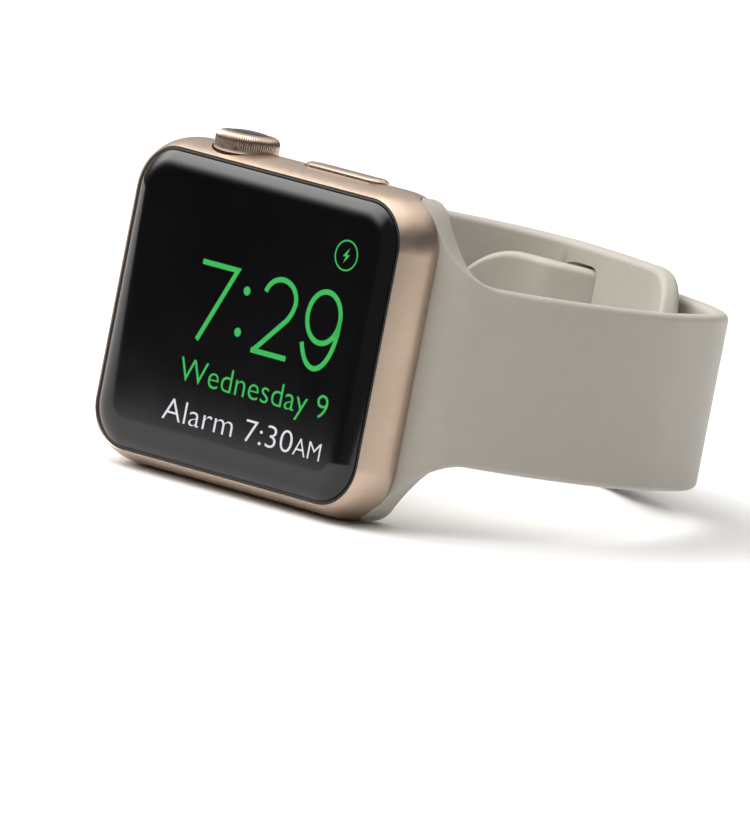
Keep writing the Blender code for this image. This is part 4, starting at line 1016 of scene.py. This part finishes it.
def digit_strokes():
    """Middle lines of the strokes of the time, in millimetres from the glass's middle."""
    seven = line((-8.1, 5.45), (-2.75, 5.45), (-6.9, -3.0))
    two = arc(4.15, 3.6, 2.35, 2.15, 168, -8, 26) + line((6.25, 2.5), (5.75, 1.65), (1.62, -2.45))
    foot = line((1.25, -2.5), (6.55, -2.5))
    bowl = arc(10.95, 2.95, 2.42, 2.8, 0, 360, 48)[:-1]
    tail = arc(10.72, 2.3, 2.65, 5.0, 8, -150, 40)
    return {"seven": [seven], "two": [two, foot], "nine": [bowl + bowl[:2], tail]}


COLON_DOTS = ((-0.9, 3.55), (-1.12, -1.05))


def joined(name, parts):
    """Several solids as one piece."""
    shape = bmesh.new()
    for part in parts:
        shape.from_mesh(part.data)
        bpy.data.objects.remove(part)
    return added(name, meshed(name, shape))


def text_mesh(name, words, thinner, thickness):
    """The words in Blender's own sans letter, as a mesh at unit size."""
    curve = bpy.data.curves.new(name, "FONT")
    curve.body = words
    curve.extrude = thickness
    curve.offset = -thinner
    curve.resolution_u = TEXT_FONT_STEP
    holder = added(name, curve)
    bpy.context.view_layer.update()
    mesh = bpy.data.meshes.new_from_object(holder.evaluated_get(bpy.context.evaluated_depsgraph_get()))
    bpy.data.objects.remove(holder)
    return mesh


def text_line(name, words, left, right, base, height, face, thinner=0.012):
    """A line of words between left and right, its capitals of that height, lying on the glass."""
    capital = max(v.co.y for v in text_mesh("measure", "H", 0.0, 0.0).vertices)
    mesh = text_mesh(name, words, thinner, 0.01)
    low = min(v.co.x for v in mesh.vertices)
    high = max(v.co.x for v in mesh.vertices)
    wide = (right - left) / (high - low)
    tall = height / capital
    for vertex in mesh.vertices:
        x = left + (vertex.co.x - low) * wide + DISPLAY_SHIFT.x
        w = base + vertex.co.y * tall + DISPLAY_SHIFT.y
        vertex.co = WATCH @ Vector((x, face - vertex.co.z * MM, w))
    return added(name, mesh)


# Operators


class WATCH_OT_case(bpy.types.Operator):
    """Build the anodised case with its channels, pockets and sound holes"""

    bl_idname = "watch.case"
    bl_label = "Case"

    def execute(self, context):
        band = Band()
        shell = case_shell()
        cutters = [channel_cutter(side, band.loop) for side in (-1, 1)]
        cutters += [latch_groove(side) for side in (-1, 1)]
        cutters += [release_hole(side) for side in (-1, 1)]
        cutters += [crown_scoop(), *side_holes(), *sound_holes()]
        carved(shell, cutters)
        soften(shell, settings().case.edge)
        dress(shell, finish_of(anodised_gold), "case", "gold_aluminium", "case_body")
        return {"FINISHED"}


class WATCH_OT_glass(bpy.types.Operator):
    """Build the cover glass with its curved edge, and the black seal round it"""

    bl_idname = "watch.glass"
    bl_label = "Cover glass"

    def execute(self, context):
        curve = settings().glass.curve
        corner = GLASS.size.x / 2 - CORE_X
        steps = 26
        rings = []
        for step in range(steps + 1):
            share = step / steps
            rings.append(case_ring(corner - curve * (1 - share), GLASS.low.y * (1 - share**3)))
        rings.append(case_ring(corner, GLASS.high.y))
        glass = lofted("cover_glass_polished", rings)
        dress(glass, finish_of(black_glass), "case", "black_glass", "cover_glass")
        outer = GASKET.size.x / 2 - CORE_X
        inner = corner + FIT_GAP / 2
        bed, floor, glass_back = outer - SEAL_BED, SEAT_DEPTH - FIT_GAP, GLASS.high.y + FIT_GAP
        profile = [(outer, SEAL_FRONT), (outer, floor), (bed, floor), (bed, glass_back)]
        profile += [(inner, glass_back), (inner, SEAL_FRONT), (inner + (outer - inner) / 2, SEAL_CREST)]
        seal = lofted("glass_seal", [case_ring(c, d) for c, d in profile], closed=True)
        dress(seal, finish_of(seal_rubber), "case", "black_seal", "glass_gasket")
        return {"FINISHED"}


class WATCH_OT_display(bpy.types.Operator):
    """Draw the lit time, day, alarm line and charging mark on the glass"""

    bl_idname = "watch.display"
    bl_label = "Display"

    def execute(self, context):
        look = settings().display
        face = GLASS.low.y + INK_LIFT
        parts = []
        for name, strokes in digit_strokes().items():
            for number, points in enumerate(strokes):
                parts.append(ribbon(f"{name}_{number}", points, look.stroke, face))
        outline = circle_outline(look.stroke * 0.85, 32)
        for number, dot in enumerate(COLON_DOTS):
            centre = Vector(dot) * MM + DISPLAY_SHIFT
            parts.append(pin(f"dot_{number}", outline, face, face - INK_THICKNESS, centre.x, centre.y))
        green = finish_of(time_glow)
        white = finish_of(note_glow)
        dress(joined("display_time", parts), green, "case", "display_panel")
        day = text_line("display_day", "Wednesday 9", -8.5 * MM, 14.0 * MM, -7.75 * MM, 2.6 * MM, face, 0.009)
        dress(day, green, "case", "display_panel")
        alarm = text_line("display_alarm", "Alarm 7:30", -9.8 * MM, 9.9 * MM, -12.3 * MM, 2.45 * MM, face)
        dress(alarm, white, "case", "display_panel")
        half = text_line("display_half_day", "AM", 10.15 * MM, 14.2 * MM, -12.3 * MM, 1.95 * MM, face)
        dress(half, white, "case", "display_panel")
        ring = arc(12.43, 10.1, 1.62, 1.62, 0, 360, 48)[:-1]
        mark = [ribbon("ring", ring + ring[:2], 0.17 * MM, face)]
        bolt = ((12.75, 10.95), (11.95, 9.95), (12.4, 9.98), (12.15, 9.2), (12.95, 10.2), (12.5, 10.17))
        mark.append(pin("bolt", line(*bolt), face, face - INK_THICKNESS))
        dress(joined("display_charging_mark", mark), green, "case", "display_panel")
        return {"FINISHED"}


def crown_levels():
    """Radius, height and share of the ridges' depth, from the crown's foot to its recessed end."""
    radius = CROWN.size.x / 2
    foot = CROWN.low.z
    rim = CROWN_CAP.size.x / 2 + CROWN_CAP_GAP
    top = CROWN.high.z - CROWN_END_INSET
    barrel = top - CROWN_SHOULDER - foot - CROWN_FOOT_ROUND
    levels = []
    for i, angle in enumerate(quarter(5)):
        reach = radius - CROWN_FOOT_ROUND * (1 - math.sin(angle))
        levels.append((reach, foot + CROWN_FOOT_ROUND * (1 - math.cos(angle)), FOOT_RIDGE_SHARE * i / 5))
    for i in range(1, 5):
        share = FOOT_RIDGE_SHARE + (1 - FOOT_RIDGE_SHARE) * i / 5
        levels.append((radius, foot + CROWN_FOOT_ROUND + barrel * i / 5, share))
    for i, angle in enumerate(quarter(10)):
        reach = radius - (radius - rim) * (1 - math.cos(angle))
        levels.append((reach, top - CROWN_SHOULDER * (1 - math.sin(angle)), 1 - 0.7 * i / 10))
    recess = rim - 0.05 * MM
    return levels + [(recess, top - 0.05 * MM, 0.0), (recess, top - CROWN_RECESS, 0.0)]


def ridged_ring(radius, w, depth, teeth):
    """A ring round the crown's axis, cut by shallow ridges of that depth."""
    steps = teeth * POINTS_PER_TOOTH
    outline = []
    for i in range(steps):
        turn = 2 * math.pi * i / steps
        ridge = 0.5 - 0.5 * math.cos(turn * teeth)
        reach = radius - depth * ridge**2
        outline.append((reach * math.cos(turn), reach * math.sin(turn)))
    return across(shifted(outline, CROWN.middle.x, CROWN.middle.y), w)


class WATCH_OT_crown(bpy.types.Operator):
    """Build the ridged crown with its black end"""

    bl_idname = "watch.crown"
    bl_label = "Crown"

    def execute(self, context):
        look = settings().crown
        rings = [ridged_ring(r, w, look.depth * share, look.teeth) for r, w, share in crown_levels()]
        knob = lofted("crown_ridged", rings, sharp=50)
        dress(knob, finish_of(polished_gold), "crown", "gold_aluminium", "crown_knob")
        cap_radius = CROWN_CAP.size.x / 2
        profile = [(cap_radius, CROWN_CAP.low.z)]
        for i in range(11):
            share = 1 - 0.92 * i / 10
            profile.append((cap_radius * share, CROWN.high.z - CROWN_RECESS * share**3))
        cap = turned_about_crown_axis("crown_end_cap", profile, CROWN.middle.x, CROWN.middle.y)
        dress(cap, finish_of(crown_cap_black), "crown", "crown_cap_black", "crown_cap")
        return {"FINISHED"}


class WATCH_OT_side_button(bpy.types.Operator):
    """Build the side button with its bright bevel"""

    bl_idname = "watch.side_button"
    bl_label = "Side button"

    def execute(self, context):
        bevel, end = BUTTON_BEVEL, BUTTON.high.z
        levels = [(0.0, BUTTON.low.z), (0.0, end - bevel * 0.75), (-0.03 * MM, end - bevel * 0.68)]
        levels += [(-bevel + 0.05 * MM, end - 0.05 * MM), (-bevel - 0.03 * MM, end - 0.01 * MM)]
        levels += [(-bevel - 0.2 * MM, end)]
        rings = []
        for grow, w in levels:
            rings.append(across(shifted(button_outline(grow), BUTTON.middle.x, BUTTON.middle.y), w))
        button = lofted("side_button_cap", rings, sharp=40)
        dress(button, finish_of(polished_gold), "side_button", "gold_aluminium", "side_button")
        return {"FINISHED"}


class WATCH_OT_band(bpy.types.Operator):
    """Build both elastomer straps, with their slot and holes, and the closure stud"""

    bl_idname = "watch.band"
    bl_label = "Band"

    def execute(self, context):
        band = Band()
        rubber = finish_of(band_elastomer)
        bottom = -STRAP_THICKNESS / 2
        short = band.short.solid("short_strap_moulded")
        middle = band.loop.length - band.slot
        start, end = middle - CROSSING_LENGTH / 2, middle + CROSSING_LENGTH / 2
        slot = band.long.stretch("slot", start, end, SLOT_CLEARANCE)
        point, outward = band.loop.at(band.stud)
        radius = STUD_SHAFT_RADIUS + FIT_GAP
        hole = [(radius, bottom - FIT_GAP), (radius, -bottom + FIT_GAP)]
        flange = STUD_FLANGE_RADIUS + FIT_GAP
        recess = [(flange, bottom - 5 * FIT_GAP), (flange, bottom + STUD_FLANGE_HEIGHT + FIT_GAP)]
        cutters = [slot]
        for name, profile in (("hole", hole), ("recess", recess)):
            cutters.append(turned_about_outward(name, profile, point, outward))
        carved(short, cutters + lug_pockets(-1))
        soften(short, SHORT_EDGE, 3)
        dress(short, rubber, "strap_short", "strap_elastomer", "strap_short")
        long = band.long.solid("long_strap_moulded")
        cutters = lug_pockets(1)
        profile = [(HOLE_RADIUS, -STRAP_THICKNESS), (HOLE_RADIUS, STRAP_THICKNESS)]
        for number in range(HOLE_COUNT):
            along = band.stud + (HOLES_BEFORE_STUD - number) * -HOLE_PITCH
            place, out = band.long.centre(band.loop.length - along)
            cutters.append(turned_about_outward("hole", profile, place, out))
        carved(long, cutters)
        soften(long, LONG_EDGE, 3)
        dress(long, rubber, "strap_long", "strap_elastomer", "strap_long")
        self.stud(point, outward, bottom)
        return {"FINISHED"}

    def stud(self, point, outward, bottom):
        head = LAYER_STEP + STRAP_THICKNESS / 2 + FIT_GAP
        radius = STUD_HEAD_RADIUS
        flange, flange_top = STUD_FLANGE_RADIUS, bottom + STUD_FLANGE_HEIGHT
        bevel = 0.1 * MM
        profile = [(flange * 0.1, bottom), (flange - bevel, bottom), (flange, bottom + bevel)]
        profile += [(flange, flange_top), (STUD_SHAFT_RADIUS, flange_top)]
        profile += [(STUD_SHAFT_RADIUS, head), (radius - bevel, head), (radius, head + bevel)]
        for angle in quarter(8, 1)[:-1]:
            height = STUD_HEAD_HEIGHT * (0.12 + 0.88 * math.sin(angle))
            profile.append((radius * math.cos(angle) ** 0.7, head + height))
        profile.append((radius * 0.05, head + STUD_HEAD_HEIGHT))
        stud = turned_about_outward("closure_stud_turned", profile, point, outward, steps=72)
        dress(stud, finish_of(polished_gold), "strap_short", "gold_aluminium", "closure_stud")


class WATCH_OT_back(bpy.types.Operator):
    """Build the back cover, the domed crystal, its sensor windows and the release buttons"""

    bl_idname = "watch.back"
    bl_label = "Back"

    def execute(self, context):
        crystal_radius = CRYSTAL.size.x / 2
        bore = crystal_radius + FIT_GAP
        flange = COVER.size.x / 2
        outer = flange - 1.0 * MM
        rim = COVER.high.y
        step_depth = COVER.low.y + 0.35 * MM
        profile = [(bore, COVER.low.y), (flange, COVER.low.y), (flange, step_depth), (outer, step_depth)]
        profile += [(outer, CASE_DEPTH - 0.05 * MM), (outer - 0.08 * MM, CASE_DEPTH + 0.08 * MM)]
        slope_radius, slope_depth = outer - BACK_EDGE_ROUND * 0.5, CASE_DEPTH + 0.12 * MM
        for i in range(1, 11):
            share = i / 10
            depth = slope_depth + (rim - slope_depth) * share**0.85
            profile.append((slope_radius - (slope_radius - bore) * share, depth))
        cover = turned_about_depth("back_cover_ring", profile, closed=True, steps=144)
        dress(cover, finish_of(anodised_gold), "case", "gold_aluminium", "back_cover")
        self.crystal(crystal_radius, rim)
        for side in (-1, 1):
            self.release(side)
        return {"FINISHED"}

    def crystal(self, radius, rim):
        apex = CRYSTAL.high.y
        flat, wall = CRYSTAL_FLAT, CRYSTAL_WALL
        profile = [(flat * 0.1, apex)]
        for i in range(19):
            share = i / 18
            reach = flat + (radius - 0.06 * MM - flat) * share
            profile.append((reach, apex - (apex - rim) * share**2))
        profile += [(radius, rim - 0.05 * MM), (radius, CRYSTAL.low.y), (radius - wall, CRYSTAL.low.y)]
        profile += [(radius - wall, rim - wall + 0.2 * MM), (flat, apex - wall), (flat * 0.1, apex - wall)]
        dome = turned_about_depth("back_crystal_dome", profile, steps=144)
        cutters = []
        windows = []
        for number in range(1, 5):
            node = f"sensor_window_{number}"
            window = Extent(node)
            half = window.size.x / 2
            x, w = window.middle.x, window.middle.z
            outline = circle_outline(half + 0.03 * MM, 64)
            cutters.append(pin("hole", outline, apex - 2.9 * MM, apex + MM, x, w))
            high = window.high.y + WINDOW_BEVEL
            lens = [(half, window.low.y), (half, high - WINDOW_BEVEL)]
            lens += [(half - WINDOW_BEVEL, high), (half * 0.1, high)]
            windows.append((turned_about_depth(f"sensor_lens_{number}", lens, x, w, steps=64), node))
        carved(dome, cutters)
        soften(dome, 0.04 * MM)
        dress(dome, finish_of(back_ceramic), "case", "back_ceramic", "back_crystal")
        for lens, node in windows:
            dress(lens, finish_of(sensor_lens), "case", "sensor_glass", node)

    def release(self, side):
        node = "release_button_" + side_name(side)
        button = Extent(node)
        high = button.high.y
        levels = [(0.0, button.low.y), (0.0, high - 0.12 * MM), (-0.04 * MM, high - 0.04 * MM)]
        levels += [(-0.12 * MM, high), (-0.3 * MM, high - 0.02 * MM)]
        rings = []
        for grow, d in levels:
            outline = swapped(stadium(button.size.z / 2 + grow, button.size.x / 2 + grow))
            rings.append(at_depth(outline, d, button.middle.x))
        cap = lofted(node + "_cap", rings)
        dress(cap, finish_of(anodised_gold), "release_" + side_name(side), "gold_aluminium", node)


INSIDE_FINISHES = {
    "board_green": circuit_board,
    "battery_wrap": battery_foil,
    "steel": brushed_steel,
    "dark_resin": dark_resin,
    "black_seal": seal_rubber,
    "coil_copper": copper_layer,
    "copper_flex": copper_layer,
    "orange_flex": flex_film,
    "display_panel": black_glass,
}


class WATCH_OT_insides(bpy.types.Operator):
    """Give every carried-over inner part its own finish"""

    bl_idname = "watch.insides"
    bl_label = "Inner parts"

    def execute(self, context):
        slots = {row["node"]: row["material_slot"] for row in frame["record"]["subparts"]}
        for node, part in frame["nodes"].items():
            if part.hide_render:
                continue
            if slots[node] not in INSIDE_FINISHES:
                raise RuntimeError(f"no finish is given for {node}")
            part.data.materials.clear()
            part.data.materials.append(finish_of(INSIDE_FINISHES[slots[node]]))
        return {"FINISHED"}


def camera_direction(look):
    """The direction from the watch to the camera."""
    level = math.cos(look.elevation)
    return Vector((math.sin(look.azimuth) * level, -math.cos(look.azimuth) * level, math.sin(look.elevation)))


class WATCH_OT_stage(bpy.types.Operator):
    """Set up the pale floor, the soft lights and the camera"""

    bl_idname = "watch.stage"
    bl_label = "Stage"

    def execute(self, context):
        look = settings().studio
        self.floor()
        self.camera(context, look)
        self.light("rear_strip", WATCH.translation + STRIP_PLACE, WATCH.translation, look.strip)
        self.surroundings(context, look)
        context.scene.view_settings.view_transform = "Standard"
        return {"FINISHED"}

    def surroundings(self, context, look):
        """Even light that is brighter from above, with a dark card where the glass looks."""
        facing = camera_direction(look)
        normal = -(WATCH.to_3x3() @ Vector((0, 1, 0)))
        mirrored = normal * 2 * normal.dot(facing) - facing
        world = bpy.data.worlds.new("even_light")
        world.use_nodes = True
        tree = world.node_tree
        direction = tree.nodes.new("ShaderNodeTexCoord").outputs["Generated"]
        edge, core = look.key_edge, look.key_core
        key = self.lobe(tree, direction, Vector(look.key_side).normalized(), edge, core, look.low, look.key)
        side = Vector(look.fill_side).normalized()
        fill = self.lobe(tree, direction, side, FILL_EDGE, FILL_CORE, 0.0, look.fill)
        top = self.lobe(tree, direction, TOP_SIDE.normalized(), TOP_EDGE, TOP_CORE, 0.0, look.top)
        card = self.lobe(tree, direction, mirrored, look.card_edge, look.card_core, 1.0, 0.0)
        lit = self.combined(tree, "ADD", self.combined(tree, "ADD", key, fill), top)
        background = tree.nodes["Background"]
        background.inputs["Color"].default_value = LIGHT_COLOUR
        tree.links.new(self.combined(tree, "MULTIPLY", lit, card), background.inputs["Strength"])
        context.scene.world = world

    def combined(self, tree, operation, first, second):
        node = tree.nodes.new("ShaderNodeMath")
        node.operation = operation
        tree.links.new(first, node.inputs[0])
        tree.links.new(second, node.inputs[1])
        return node.outputs[0]

    def lobe(self, tree, direction, axis, edge, core, outside, inside):
        """A value that goes from outside to inside as the angle from axis falls from edge to core."""
        dot = tree.nodes.new("ShaderNodeVectorMath")
        dot.operation = "DOT_PRODUCT"
        tree.links.new(direction, dot.inputs[0])
        dot.inputs[1].default_value = axis
        span = tree.nodes.new("ShaderNodeMapRange")
        span.interpolation_type = "SMOOTHSTEP"
        tree.links.new(dot.outputs["Value"], span.inputs["Value"])
        span.inputs["From Min"].default_value = math.cos(edge)
        span.inputs["From Max"].default_value = math.cos(core)
        span.inputs["To Min"].default_value = outside
        span.inputs["To Max"].default_value = inside
        return span.outputs["Result"]

    def floor(self):
        """A pale round floor."""
        shape = bmesh.new()
        bmesh.ops.create_circle(shape, cap_ends=True, segments=128, radius=FLOOR_RADIUS)
        floor = added("studio_floor", meshed("studio_floor", shape))
        made = Finish("floor_paint", (0.86, 0.86, 0.86), 0.7)
        made.vary_colour(made.noise(200), (0.87, 0.87, 0.87), (0.89, 0.89, 0.89))
        floor.data.materials.append(made.material)

    def camera(self, context, look):
        back = camera_direction(look)
        turn = (-back).to_track_quat("-Z", "Y") @ Matrix.Rotation(look.roll, 3, "Z").to_quaternion()
        right = turn @ Vector((1, 0, 0))
        up = turn @ Vector((0, 1, 0))
        aim = WATCH.translation + right * look.aim_right - up * look.aim_down
        data = bpy.data.cameras.new("camera")
        data.lens = look.lens
        data.sensor_width = SENSOR_WIDTH
        distance = look.view_height * look.lens / data.sensor_width
        data.clip_start = distance * 0.1
        data.clip_end = distance * 10
        camera = added("camera", data)
        camera.rotation_mode = "QUATERNION"
        camera.rotation_quaternion = turn
        camera.location = aim + back * distance
        context.scene.camera = camera

    def light(self, name, place, aim, power):
        data = bpy.data.lights.new(name, "AREA")
        data.shape = "RECTANGLE"
        data.size, data.size_y = STRIP_SIZE
        data.energy = power
        light = added(name, data)
        light.location = place
        light.rotation_mode = "QUATERNION"
        light.rotation_quaternion = (aim - place).to_track_quat("-Z", "Y")


OPERATORS = (
    WATCH_OT_case,
    WATCH_OT_glass,
    WATCH_OT_display,
    WATCH_OT_crown,
    WATCH_OT_side_button,
    WATCH_OT_band,
    WATCH_OT_back,
    WATCH_OT_insides,
    WATCH_OT_stage,
)


class WATCH_PT_panel(bpy.types.Panel):
    """Lists the pieces of the watch"""

    bl_idname = "WATCH_PT_panel"
    bl_label = "Watch"
    bl_space_type = "VIEW_3D"
    bl_region_type = "UI"
    bl_category = "Watch"

    def draw(self, context):
        look = context.scene.watch_look
        for group in (look.case, look.glass, look.display, look.crown, look.band, look.studio):
            box = self.layout.box()
            for name in group.__annotations__:
                box.prop(group, name)
        for operator in OPERATORS:
            self.layout.operator(operator.bl_idname)


CLASSES = (
    CaseSettings,
    GlassSettings,
    DisplaySettings,
    CrownSettings,
    BandSettings,
    StudioSettings,
    WatchLook,
    *OPERATORS,
    WATCH_PT_panel,
)


def register():
    for each in CLASSES:
        bpy.utils.register_class(each)
    bpy.types.Scene.watch_look = PointerProperty(type=WatchLook)


def unregister():
    del bpy.types.Scene.watch_look
    for each in reversed(CLASSES):
        bpy.utils.unregister_class(each)


def main():
    register()
    bpy.ops.watch.case()
    bpy.ops.watch.glass()
    bpy.ops.watch.display()
    bpy.ops.watch.crown()
    bpy.ops.watch.side_button()
    bpy.ops.watch.band()
    bpy.ops.watch.back()
    bpy.ops.watch.insides()
    bpy.ops.watch.stage()


if __name__ == "__main__":
    main()
